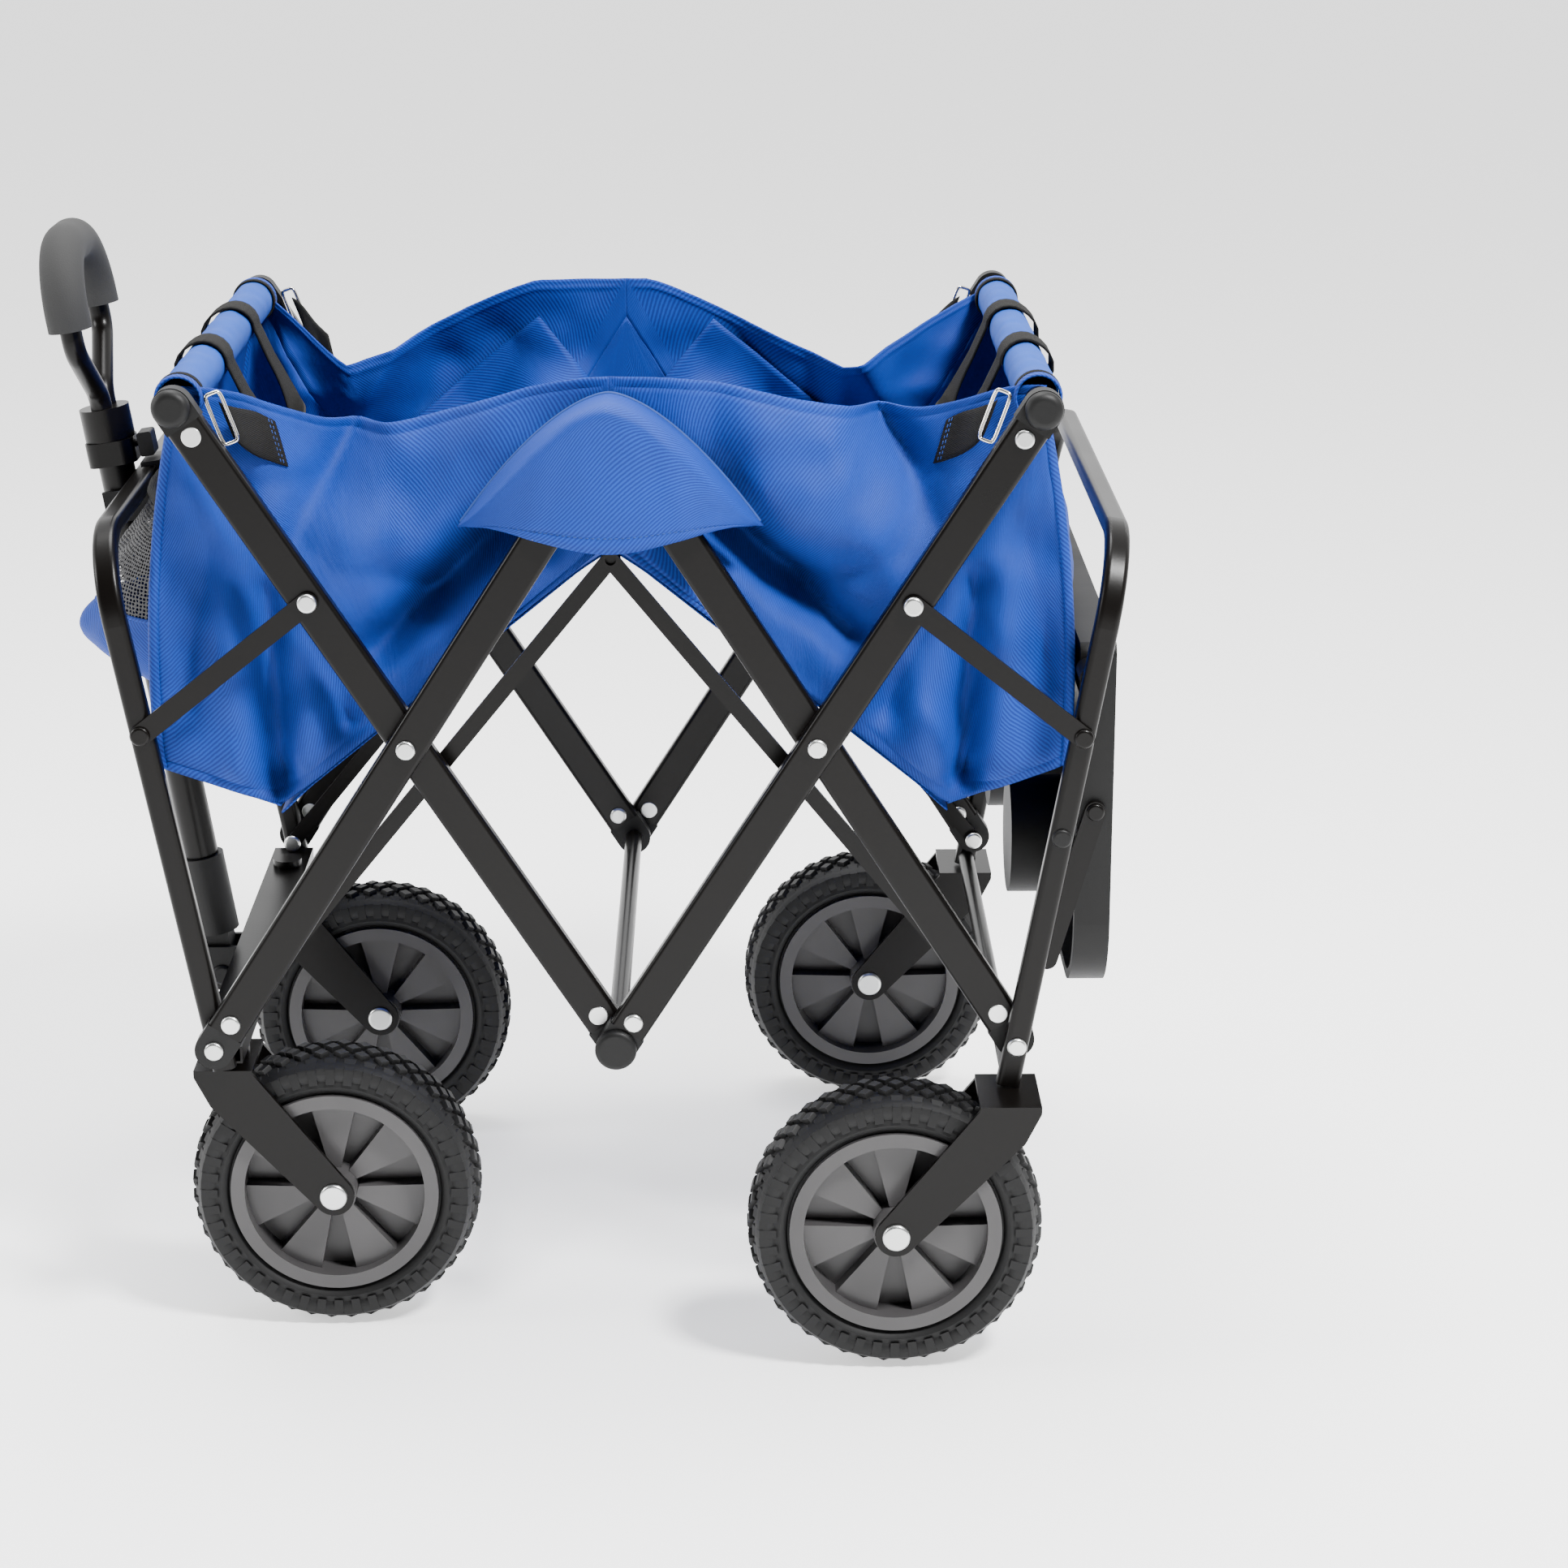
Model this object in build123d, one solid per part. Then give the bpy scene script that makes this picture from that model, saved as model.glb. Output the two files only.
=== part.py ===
from build123d import *
import os
from math import cos, radians, sin

# A folding wagon with a pull handle, stored half folded, in millimetres.
# The side linkage is drawn about the bottom centre pivot: X runs to the rear, Y to the right, Z up.
# Everything is then moved so that the wheels stand on Z = 0 under the middle of the bounding box.

# The scissor frame
HALF_BAR = 248.0  # pivot to pivot, from the crossing to the foot or the centre
UPPER_BAR = 265.0  # from the crossing to the top corner on the long bars
BAR_ANGLE = 57.3
BAR_WIDTH = 25.0
BAR_WALL = 1.5
BAR_CORNER = 3.0
LAYER_INNER = (216.0, 228.0)
LAYER_OUTER = (230.0, 242.0)
END_GAP = 14.0  # from a pivot to the cut end of the bar's tube
FIX_RIVET = 22.0  # from a pivot to the rivet that holds the bar's end piece
LUG_RADIUS = 13.0
TONGUE = 22.0
TONGUE_PLAY = 1.0

PIN_R = 3.0
HOLE_R = 3.05
HEAD_R = 6.5
HEAD_H = 2.6
FLUSH_H = 0.8

# The end frames
LEG_TILT = 10.4
LEG_HEIGHT = 348.0  # along the leg, from the foot pivot to the crossbar's centre line
LEG_BEND = 55.0
LEG_SECTION = (12.0, 16.0)
LEG_CORNER = 4.0
FRONT_LEG_FOOT = 20.0
REAR_LEG_FOOT = 29.0
CROSS_WIDTH = 30.0
CROSS_TOP = -7.0
CROSS_BOTTOM = -19.0
REAR_TIE_Z = -22.5
REAR_TIE_R = 6.0

# Links, floor bars and rim bars
LINK_FROM_CROSSING = 114.0
LINK_ON_LEG = 219.4
LINK_WIDTH = 14.0
FLOOR_CENTRE_Z = 328.0
FLOOR_BAR_WIDTH = 11.0
FLOOR_BAR_FRONT = (205.5, 208.5)
FLOOR_BAR_REAR = (209.0, 212.0)
RIM_BAR_R = 8.0
SLEEVE_R = 13.0
SLEEVE_HALF = 192.0

# Wheels
WHEEL_R = 100.0
WHEEL_HALF_WIDTH = 25.0
RIM_R = 68.0
AXLE_Z = -123.0
AXLE_R = 6.0
AXLE_HOLE_R = 6.05
FRONT_AXLE_X = 197.0
FRONT_TRACK = 172.0
REAR_AXLE_X = 187.0
REAR_TRACK = 245.0
KINGPIN_X = 268.0
KINGPIN_R = 8.0
ARM_INNER = 27.0
ARM_PLATE = 3.5
CROWN_TOP = -30.0
FRONT_CROWN = (249.0, 289.0)
REAR_CROWN = (242.0, 283.0)
BARREL_R = 62.0
WHEEL_HUB_R = 15.0
WHEEL_HUB_HALF = 26.5
WEB_HALF = 2.0
SPOKE_HALF = 14.0
SPOKES = 7

# Handle, drawn along its own tilted axis from its pivot
HANDLE_PIVOT = (-294.0, -28.0)
HANDLE_TILT = 9.0
HANDLE_TUBE_R = 12.5
HANDLE_INNER_R = 10.5
HANDLE_PIN_R = 4.0
SOCKET_START = 382.0
SOCKET_END = 399.0
COLLAR_END = 422.0
LOOP_TUBE_R = 7.5
LOOP_HALF = 55.0
LOOP_TOP = 538.0
GRIP_R = 15.0
GRIP_START = 486.0

# Table
TABLE_HINGE = (312.6, 252.0)
TABLE_BACK = 308.0
TABLE_TOP = 332.0
TABLE_SHEET = 5.5
TABLE_WALL = 7.0
TABLE_LOW = 18.0
TABLE_HIGH = 268.0
TABLE_HALF = 204.0
CUP_Y = 100.0
CUP_Z = 105.0
CUP_R = 38.0
CUP_WALL = 3.0
CUP_END = 270.0
STRUT_TOP = (320.0, 154.0)
STRUT_LOW = (290.0, 50.0)

# Bag
BAG_HALF = 195.0
CLOTH = 3.5
BAG_LOW = (292.0, 196.0)
BAG_FOLD = (217.0, 168.0)
BAG_RIDGE = (0.0, 331.0)
SIDE_PANEL = (197.0, 200.5)

# Where the bottom centre pivot stands in the finished frame
PIVOT_HEIGHT = WHEEL_R - AXLE_Z
SHIFT_X = 27.04

CROSSING = (HALF_BAR * cos(radians(BAR_ANGLE)), HALF_BAR * sin(radians(BAR_ANGLE)))
LONG_BAR = HALF_BAR + UPPER_BAR
CORNER = (LONG_BAR * cos(radians(BAR_ANGLE)), LONG_BAR * sin(radians(BAR_ANGLE)))
FOOT = (2 * CROSSING[0], 0.0)
TOP_CENTRE = (0.0, 2 * CROSSING[1])
BOTTOM_CENTRE = (0.0, 0.0)

FRONT = -1
REAR = 1
SIDES = (-1, 1)

LONG_LAYER = {FRONT: LAYER_INNER, REAR: LAYER_OUTER}
SHORT_LAYER = {FRONT: LAYER_OUTER, REAR: LAYER_INNER}
END_NAME = {FRONT: "front", REAR: "rear"}
SIDE_NAME = {-1: "left", 1: "right"}


def mirrored(end, point):
    return (end * point[0], point[1])


def between(p, q, distance):
    """The point that lies a distance from p on the way to q."""
    length = ((q[0] - p[0]) ** 2 + (q[1] - p[1]) ** 2) ** 0.5
    share = distance / length
    return (p[0] + (q[0] - p[0]) * share, p[1] + (q[1] - p[1]) * share)


def apart(p, q):
    return ((q[0] - p[0]) ** 2 + (q[1] - p[1]) ** 2) ** 0.5


def slab(sketch, side, layer):
    """A side-view sketch made solid through a layer given as distances from the middle plane."""
    low, high = sorted((side * layer[0], side * layer[1]))
    plane = Plane(origin=(0, high, 0), x_dir=(1, 0, 0), z_dir=(0, -1, 0))
    return extrude(plane * sketch, high - low)


def across(sketch, half):
    """A side-view sketch made solid from one side of the middle plane to the other."""
    return slab(sketch, 1, (-half, half))


def disc(point, radius):
    return Pos(*point) * Circle(radius)


def pin(point, side, layer, radius=PIN_R):
    return slab(disc(point, radius), side, layer)


def strip(p, q, width):
    """A flat strip with round ends about two points, in side view."""
    middle = ((p[0] + q[0]) / 2, (p[1] + q[1]) / 2)
    line = Vector(q[0] - p[0], q[1] - p[1], 0)
    turn = Vector(1, 0, 0).get_signed_angle(line, Vector(0, 0, 1))
    body = Pos(*middle) * Rot(0, 0, turn) * Rectangle(apart(p, q), width)
    return body + disc(p, width / 2) + disc(q, width / 2)


def ribbon(points, thickness):
    """A thin sheet seen edge on, along a line of points."""
    shape = strip(points[0], points[1], thickness)
    for p, q in zip(points[1:], points[2:]):
        shape += strip(p, q, thickness)
    return shape


def dome(point, side, start, radius=HEAD_R, height=HEAD_H):
    """A round rivet head standing on a face at a distance from the middle plane."""
    head = pin(point, side, (start, start + height), radius)
    outer = head.faces().sort_by(Axis.Y)[-1 if side > 0 else 0]
    return fillet(outer.edges(), height * 0.75)


def inner_dome(point, side, end, radius=HEAD_R, height=HEAD_H):
    """A rivet head on a face that looks towards the middle plane."""
    head = pin(point, side, (end - height, end), radius)
    inner = head.faces().sort_by(Axis.Y)[0 if side > 0 else -1]
    return fillet(inner.edges(), height * 0.75)


def rivet(point, side, start, end, outer=HEAD_H, inner=HEAD_H):
    """A pin through a stack of parts with a head on each end."""
    body = pin(point, side, (start, end))
    body += dome(point, side, end, HEAD_R, outer)
    body += inner_dome(point, side, start, HEAD_R, inner)
    return body


def bar_tube(p, q, side, layer, holes):
    """A flat oval tube between two pivots, with its ends cut short and rivet holes across it."""
    direction = Vector(q[0] - p[0], 0, q[1] - p[1]).normalized()
    start = between(p, q, END_GAP)
    middle = side * (layer[0] + layer[1]) / 2
    depth = layer[1] - layer[0]
    plane = Plane(origin=(start[0], middle, start[1]), x_dir=(0, 1, 0), z_dir=direction)
    section = RectangleRounded(depth, BAR_WIDTH, BAR_CORNER)
    section -= RectangleRounded(
        depth - 2 * BAR_WALL, BAR_WIDTH - 2 * BAR_WALL, BAR_CORNER - BAR_WALL
    )
    tube = extrude(plane * section, apart(p, q) - 2 * END_GAP)
    for distance in holes:
        tube -= pin(between(p, q, distance), side, (layer[0] - 1, layer[1] + 1), HOLE_R)
    return tube


def bar_end(p, q, side, layer):
    """The lug at p of a bar that runs to q, with a tongue that fits in the bar's tube."""
    neck = between(p, q, END_GAP)
    tip = between(p, q, END_GAP + TONGUE)
    line = Vector(q[0] - p[0], q[1] - p[1], 0)
    turn = Vector(1, 0, 0).get_signed_angle(line, Vector(0, 0, 1))
    middle = ((p[0] + neck[0]) / 2, (p[1] + neck[1]) / 2)
    head = disc(p, LUG_RADIUS) + Pos(*middle) * Rot(0, 0, turn) * Rectangle(
        END_GAP, 2 * LUG_RADIUS
    )
    lug = slab(head, side, layer)
    tongue_middle = ((neck[0] + tip[0]) / 2, (neck[1] + tip[1]) / 2)
    width = BAR_WIDTH - 2 * BAR_WALL - TONGUE_PLAY
    flat = Pos(*tongue_middle) * Rot(0, 0, turn) * Rectangle(TONGUE, width)
    play = BAR_WALL + TONGUE_PLAY / 2
    lug += slab(flat, side, (layer[0] + play, layer[1] - play))
    whole = (layer[0] - 1, layer[1] + 1)
    lug -= pin(p, side, whole, HOLE_R)
    lug -= pin(between(p, q, FIX_RIVET), side, whole, HOLE_R)
    return lug


def leg_point(end, distance):
    """A point on a leg's centre line, measured up from the foot pivot."""
    tilt = radians(LEG_TILT)
    return (end * (FOOT[0] + distance * sin(tilt)), distance * cos(tilt))


def centre_tube():
    return pin(BOTTOM_CENTRE, 1, (-LAYER_INNER[0] + 0.3, LAYER_INNER[0] - 0.3), 6.5)


def hub(point, side):
    """A plastic hub: a washer inside, a pin through both bars and a domed cap outside."""
    body = pin(point, side, (LAYER_INNER[0] - 0.3, LAYER_OUTER[1] + 0.3))
    body += dome(point, side, LAYER_OUTER[1] + 0.3, 14.0, 5.0)
    return body


def bottom_hubs():
    return [hub(BOTTOM_CENTRE, side) for side in SIDES]


def top_hubs():
    hubs = []
    for side in SIDES:
        washer = inner_dome(TOP_CENTRE, side, LAYER_INNER[0] - 0.3, 11.0, 3.0)
        hubs.append(hub(TOP_CENTRE, side) + washer)
    return hubs


def long_bars(end):
    top = mirrored(end, CORNER)
    holes = (FIX_RIVET, HALF_BAR, HALF_BAR + LINK_FROM_CROSSING, LONG_BAR - FIX_RIVET)
    return [bar_tube(BOTTOM_CENTRE, top, s, LONG_LAYER[end], holes) for s in SIDES]


def long_bar_ends(end):
    """The lugs at the bottom and, at the top corner, the plastic caps that hold the rim bar."""
    top = mirrored(end, CORNER)
    layer = LONG_LAYER[end]
    pieces = []
    for side in SIDES:
        pieces.append(bar_end(BOTTOM_CENTRE, top, side, layer))
        cap = bar_end(top, BOTTOM_CENTRE, side, layer)
        cap += pin(top, side, layer, LUG_RADIUS)
        cap += dome(top, side, layer[1], 12.5, 7.0)
        pieces.append(cap)
    return pieces


def long_bar_rivets(end):
    """Rivets that stay with the long bars: those of the end pieces and the pivot of the link."""
    layer = LONG_LAYER[end]
    top = mirrored(end, CORNER)
    outer = FLUSH_H if end == FRONT else HEAD_H
    link = link_layer(end)
    pieces = []
    for side in SIDES:
        for distance in (FIX_RIVET, LONG_BAR - FIX_RIVET):
            spot = between(BOTTOM_CENTRE, top, distance)
            inner = FLUSH_H if end == REAR else HEAD_H
            pieces.append(rivet(spot, side, layer[0], layer[1], outer, inner))
        spot = between(BOTTOM_CENTRE, top, HALF_BAR + LINK_FROM_CROSSING)
        inner = FLUSH_H if end == REAR else HEAD_H
        pieces.append(rivet(spot, side, layer[0], link[1] + 0.2, HEAD_H, inner))
    return pieces


def rim_bar(end):
    ring = disc(mirrored(end, CORNER), RIM_BAR_R) - disc(mirrored(end, CORNER), RIM_BAR_R - 1.5)
    return across(ring, LONG_LAYER[end][0])


def rim_sleeve(end):
    """The cloth sleeve of the bag's end, round the rim bar."""
    corner = mirrored(end, CORNER)
    return across(disc(corner, SLEEVE_R) - disc(corner, RIM_BAR_R + 0.05), SLEEVE_HALF)


def short_bars(end):
    foot = mirrored(end, FOOT)
    holes = (FIX_RIVET, HALF_BAR, 2 * HALF_BAR - FIX_RIVET)
    return [bar_tube(foot, TOP_CENTRE, s, SHORT_LAYER[end], holes) for s in SIDES]


def short_bar_ends(end):
    foot = mirrored(end, FOOT)
    pieces = []
    for side in SIDES:
        pieces.append(bar_end(foot, TOP_CENTRE, side, SHORT_LAYER[end]))
        pieces.append(bar_end(TOP_CENTRE, foot, side, SHORT_LAYER[end]))
    return pieces


def short_bar_rivets(end):
    """Rivets that stay with the short bars: end pieces, the crossing and the foot pivot."""
    foot = mirrored(end, FOOT)
    layer = SHORT_LAYER[end]
    pieces = []
    for side in SIDES:
        for distance in (FIX_RIVET, 2 * HALF_BAR - FIX_RIVET):
            spot = between(foot, TOP_CENTRE, distance)
            outer = FLUSH_H if end == REAR else HEAD_H
            inner = FLUSH_H if end == FRONT else HEAD_H
            pieces.append(rivet(spot, side, layer[0], layer[1], outer, inner))
        start = LAYER_INNER[0] - 0.15
        finish = LAYER_OUTER[1] + 0.15
        crossing = rivet(mirrored(end, CROSSING), side, start, finish)
        crossing += pin(mirrored(end, CROSSING), side, (LAYER_INNER[1] + 0.2, LAYER_OUTER[0] - 0.2), 9)
        pieces.append(crossing)
        pieces.append(rivet(foot, side, FLOOR_BAR_FRONT[0] - 0.2, finish))
    return pieces


def leg_frame(end):
    """The bent tube of one end: two legs and the crossbar between them."""
    layer = LAYER_INNER if end == FRONT else LAYER_OUTER
    half = (layer[0] + layer[1]) / 2
    low = -(FRONT_LEG_FOOT if end == FRONT else REAR_LEG_FOOT)
    tilt = radians(LEG_TILT)
    plane = Plane(
        origin=(end * FOOT[0], 0, 0),
        x_dir=(0, 1, 0),
        z_dir=(cos(tilt), 0, -end * sin(tilt)),
    )
    corners = [(-half, low), (-half, LEG_HEIGHT), (half, LEG_HEIGHT), (half, low)]
    with BuildLine(plane) as path:
        FilletPolyline(*corners, radius=LEG_BEND)
    wall = 2 * BAR_WALL
    section = RectangleRounded(*LEG_SECTION, LEG_CORNER)
    section -= RectangleRounded(LEG_SECTION[0] - wall, LEG_SECTION[1] - wall, LEG_CORNER - BAR_WALL)
    start = Plane(origin=path.line @ 0, x_dir=(0, 1, 0), z_dir=path.line % 0)
    frame = sweep(start * section, path=path.line)
    for side in SIDES:
        frame -= pin(mirrored(end, FOOT), side, (layer[0] - 1, layer[1] + 1), HOLE_R)
    return frame


def front_cross_member():
    """The flat tube between the front feet, with the casters' kingpin holes."""
    height = CROSS_TOP - CROSS_BOTTOM
    middle = (-KINGPIN_X, (CROSS_TOP + CROSS_BOTTOM) / 2)
    inside = Rectangle(CROSS_WIDTH - 2 * BAR_WALL, height - 2 * BAR_WALL)
    tube = across(Pos(*middle) * (Rectangle(CROSS_WIDTH, height) - inside), LAYER_INNER[0])
    for side in SIDES:
        tube -= Pos(-KINGPIN_X, side * FRONT_TRACK, middle[1]) * Cylinder(KINGPIN_R + 0.05, 40)
    return tube


def handle_clevis():
    """Two ears on the front of the cross member and the pin between them."""
    ear = disc(HANDLE_PIVOT, 12)
    front_face = -KINGPIN_X - CROSS_WIDTH / 2
    width = front_face - HANDLE_PIVOT[0] + 12
    height = CROSS_TOP - HANDLE_PIVOT[1]
    ear += Pos(front_face - width / 2, CROSS_TOP - height / 2) * Rectangle(width, height)
    body = slab(ear, 1, (13, 17)) + slab(ear, -1, (13, 17))
    body += pin(HANDLE_PIVOT, 1, (-17, 17), HANDLE_PIN_R)
    for side in SIDES:
        body += dome(HANDLE_PIVOT, side, 17, 7.5, 3)
    return body


def on_handle(a, u):
    """A side-view point a behind the handle's axis and u along it from its pivot."""
    tilt = radians(HANDLE_TILT)
    x = HANDLE_PIVOT[0] + a * cos(tilt) - u * sin(tilt)
    z = HANDLE_PIVOT[1] + a * sin(tilt) + u * cos(tilt)
    return (x, z)


def handle_plane(u):
    """A plane across the handle at u: local X is Y and local Y points to the front."""
    x, z = on_handle(0, u)
    tilt = radians(HANDLE_TILT)
    return Plane(origin=(x, 0, z), x_dir=(0, 1, 0), z_dir=(-sin(tilt), 0, cos(tilt)))


def handle_ring(start, end, outer, inner=0.0):
    ring = Circle(outer)
    if inner:
        ring -= Circle(inner)
    return extrude(handle_plane(start) * ring, end - start)


def handle_block(a, u, width):
    """A box beside the handle's axis: a and u are (low, high), width is across the wagon."""
    middle = on_handle((a[0] + a[1]) / 2, (u[0] + u[1]) / 2)
    face = Pos(*middle) * Rot(0, 0, HANDLE_TILT) * Rectangle(a[1] - a[0], u[1] - u[0])
    return across(face, width / 2)


def handle_clip():
    """The clip on the crossbar: two arms beside the handle tube and a hook over the bar."""
    clip = handle_block((13.2, 33.5), (342, 364.5), 34)
    clip += handle_block((30.3, 33.5), (360, 381.5), 34)
    clip += handle_block((20, 33.5), (378.2, 381.5), 34)
    arms = handle_block((-11, 14), (342, 364.5), 34)
    arms -= handle_block((-12, 13.2), (341, 365.5), 25.6)
    return clip + arms


def handle_knuckle():
    """The plastic foot of the handle tube, with the eye that turns on the clevis pin."""
    body = across(disc(HANDLE_PIVOT, 12), 12.7)
    body += handle_block((-9.5, 9.5), (0, 34), 25)
    body += handle_ring(30, 88, 16)
    body -= handle_ring(34, 89, HANDLE_TUBE_R + 0.05)
    body -= across(disc(HANDLE_PIVOT, HANDLE_PIN_R + 0.05), 14)
    return body


def handle_lower_tube():
    return handle_ring(34, SOCKET_START + 8, HANDLE_TUBE_R, HANDLE_INNER_R + 0.1)


def handle_socket():
    """The plastic top of the lower tube, with the hole of the release tab's stem."""
    body = extrude(
        handle_plane(SOCKET_START) * RectangleRounded(34, 34, 9), SOCKET_END - SOCKET_START
    )
    body -= handle_ring(SOCKET_START - 1, SOCKET_START + 8, HANDLE_TUBE_R + 0.05)
    body -= handle_ring(SOCKET_START, SOCKET_END + 1, HANDLE_INNER_R + 0.05)
    return body - release_stem((12.6, 20), 0.1)


def release_stem(reach, play):
    """The round stem of the release tab, between two distances behind the axis."""
    x, z = on_handle(reach[0], SOCKET_START + 11)
    tilt = radians(HANDLE_TILT)
    plane = Plane(origin=(x, 0, z), x_dir=(0, 1, 0), z_dir=(cos(tilt), 0, sin(tilt)))
    return extrude(plane * Circle(2.5 + play), reach[1] - reach[0])


def handle_release_tab():
    tab = handle_block((19.6, 30), (SOCKET_START + 2, SOCKET_END + 2), 18)
    tab = fillet(tab.edges().filter_by(Axis.Y), 2)
    return tab + release_stem((14.6, 20), 0)


def handle_upper_tube():
    return handle_ring(44, SOCKET_END + 6, HANDLE_INNER_R, HANDLE_INNER_R - 1.8)


def handle_collar():
    """The collar that joins the upper tube to both ends of the loop, with its screw."""
    body = handle_ring(SOCKET_END + 0.3, COLLAR_END, 17.5)
    body -= handle_ring(SOCKET_END, SOCKET_END + 6, HANDLE_INNER_R + 0.05)
    for side in SIDES:
        hole = Pos(side * 8.5, 0) * Circle(LOOP_TUBE_R + 0.05)
        body -= extrude(handle_plane(SOCKET_END + 10) * hole, 20)
    return body


def loop_path(start):
    """Half the loop's route on each side, from a height along the handle to the top."""
    facing = (cos(radians(HANDLE_TILT)), 0, sin(radians(HANDLE_TILT)))
    plane = Plane(handle_plane(0).origin, x_dir=(0, 1, 0), z_dir=facing)
    right = [(LOOP_HALF, start), (LOOP_HALF, LOOP_TOP)]
    radii = [45, 45]
    if start < GRIP_START:
        right = [(8.5, start), (8.5, 432), (LOOP_HALF, 470), (LOOP_HALF, LOOP_TOP)]
        radii = [18, 18, 45, 45, 18, 18]
    left = [(-y, u) for y, u in reversed(right)]
    with BuildLine(plane) as path:
        FilletPolyline(*right, *left, radius=radii)
    return path.line


def swept_ring(path, outer, inner):
    start = Plane(origin=path @ 0, z_dir=path % 0)
    return sweep(start * (Circle(outer) - Circle(inner)), path=path)


def handle_loop():
    return swept_ring(loop_path(SOCKET_END + 11), LOOP_TUBE_R, LOOP_TUBE_R - 1.5)


def handle_grip():
    return swept_ring(loop_path(GRIP_START), GRIP_R, LOOP_TUBE_R + 0.05)


def link_layer(end):
    outer_face = LONG_LAYER[end][1]
    return (outer_face + 1.2, outer_face + 3.2)


def links(end):
    """Flat links from the long bars to the legs, each with the head of its leg rivet."""
    top = mirrored(end, between(CROSSING, CORNER, LINK_FROM_CROSSING))
    low = leg_point(end, LINK_ON_LEG)
    pieces = []
    for side in SIDES:
        plate = slab(strip(top, low, LINK_WIDTH), side, link_layer(end))
        plate -= pin(top, side, (LAYER_INNER[0], LAYER_OUTER[1] + 9), HOLE_R)
        pieces.append(plate + dome(low, side, link_layer(end)[1]))
    return pieces


def floor_bars(end):
    """Thin bars from the feet to the middle of the bag's floor."""
    layer = FLOOR_BAR_FRONT if end == FRONT else FLOOR_BAR_REAR
    foot = mirrored(end, FOOT)
    centre = (0.0, FLOOR_CENTRE_Z)
    pieces = []
    for side in SIDES:
        bar = slab(strip(foot, centre, FLOOR_BAR_WIDTH), side, layer)
        bar -= pin(foot, side, (layer[0] - 1, layer[1] + 1), HOLE_R)
        if end == REAR:
            bar -= pin(centre, side, (layer[0] - 1, layer[1] + 1), HOLE_R + 0.5)
            pieces.append(bar)
        else:
            pieces.append(bar + inner_dome(centre, side, layer[0]))
    return pieces


def wheel_place(end, side):
    if end == FRONT:
        return (-FRONT_AXLE_X, side * FRONT_TRACK)
    return (REAR_AXLE_X, side * REAR_TRACK)


def turned(profile, x, y):
    """A profile of (radius, distance along the axle) turned about a wheel's axle."""
    plane = Plane(origin=(x, y, AXLE_Z), x_dir=(0, 0, 1), z_dir=(-1, 0, 0))
    outline = Polyline(*profile, close=True)
    return revolve(plane * make_face(outline), Axis((x, y, AXLE_Z), (0, 1, 0)))


def tyre(end, side):
    half = [(RIM_R + 0.1, 19.6), (73, 19.6), (80, 24), (91, WHEEL_HALF_WIDTH), (98, 20), (WHEEL_R, 14)]
    other = [(r, -y) for r, y in reversed(half)]
    return turned(half + other, *wheel_place(end, side))


def wheel_ring(inner, outer, half, x, y):
    """A round part of a wheel between two radii and a distance either way along the axle."""
    return turned([(inner, half), (outer, half), (outer, -half), (inner, -half)], x, y)


def wheel_rim(end, side):
    """The moulded wheel: a hub, a web, wedge-shaped spokes on both its faces and a barrel."""
    x, y = wheel_place(end, side)
    half = [(BARREL_R, 24), (71.5, 24), (71.5, 20), (RIM_R, 20)]
    pieces = [turned(half + [(r, -v) for r, v in reversed(half)], x, y)]
    pieces.append(wheel_ring(AXLE_HOLE_R, WHEEL_HUB_R, WHEEL_HUB_HALF, x, y))
    pieces.append(wheel_ring(WHEEL_HUB_R, BARREL_R, WEB_HALF, x, y))
    wedge = make_face(Polyline((WHEEL_HUB_R, -4), (66, -17), (66, 17), (WHEEL_HUB_R, 4), close=True))
    for n in range(SPOKES):
        spoke = (Rot(0, 0, 90 + n * 360 / SPOKES) * wedge) & Circle(BARREL_R)
        spoke = Pos(x, AXLE_Z) * spoke
        pieces.append(slab(spoke, 1, (y + WEB_HALF, y + SPOKE_HALF)))
        pieces.append(slab(spoke, 1, (y - SPOKE_HALF, y - WEB_HALF)))
    return pieces


def axle(end, side):
    x, y = wheel_place(end, side)
    reach = ARM_INNER + ARM_PLATE
    body = slab(disc((x, AXLE_Z), AXLE_R), 1, (y - reach, y + reach))
    body += dome((x, AXLE_Z), 1, y + reach, 9.5, 3)
    body += dome((x, AXLE_Z), -1, reach - y, 9.5, 3)
    return body


def fork(end, side):
    """Two arms and a crown plate, bent from one strip, over a wheel."""
    x, y = wheel_place(end, side)
    crown = FRONT_CROWN if end == FRONT else REAR_CROWN
    corners = [
        disc((x, AXLE_Z), 14),
        disc((end * (crown[1] - 4), CROWN_TOP - 4), 4),
        disc((end * (crown[0] + 4), CROWN_TOP - 4), 4),
        disc((end * (crown[1] - 14), CROWN_TOP - 24), 4),
    ]
    outline = [edge for corner in corners for edge in corner.edges()]
    arm = make_hull(outline)
    body = slab(arm, 1, (y + ARM_INNER, y + ARM_INNER + ARM_PLATE))
    body += slab(arm, 1, (y - ARM_INNER - ARM_PLATE, y - ARM_INNER))
    low, high = sorted((end * crown[0], end * crown[1]))
    plate = Pos((low + high) / 2, y, CROWN_TOP - ARM_PLATE / 2)
    body += plate * Box(high - low, 2 * (ARM_INNER + ARM_PLATE), ARM_PLATE)
    return body - slab(disc((x, AXLE_Z), AXLE_HOLE_R), 1, (y - 50, y + 50))


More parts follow.
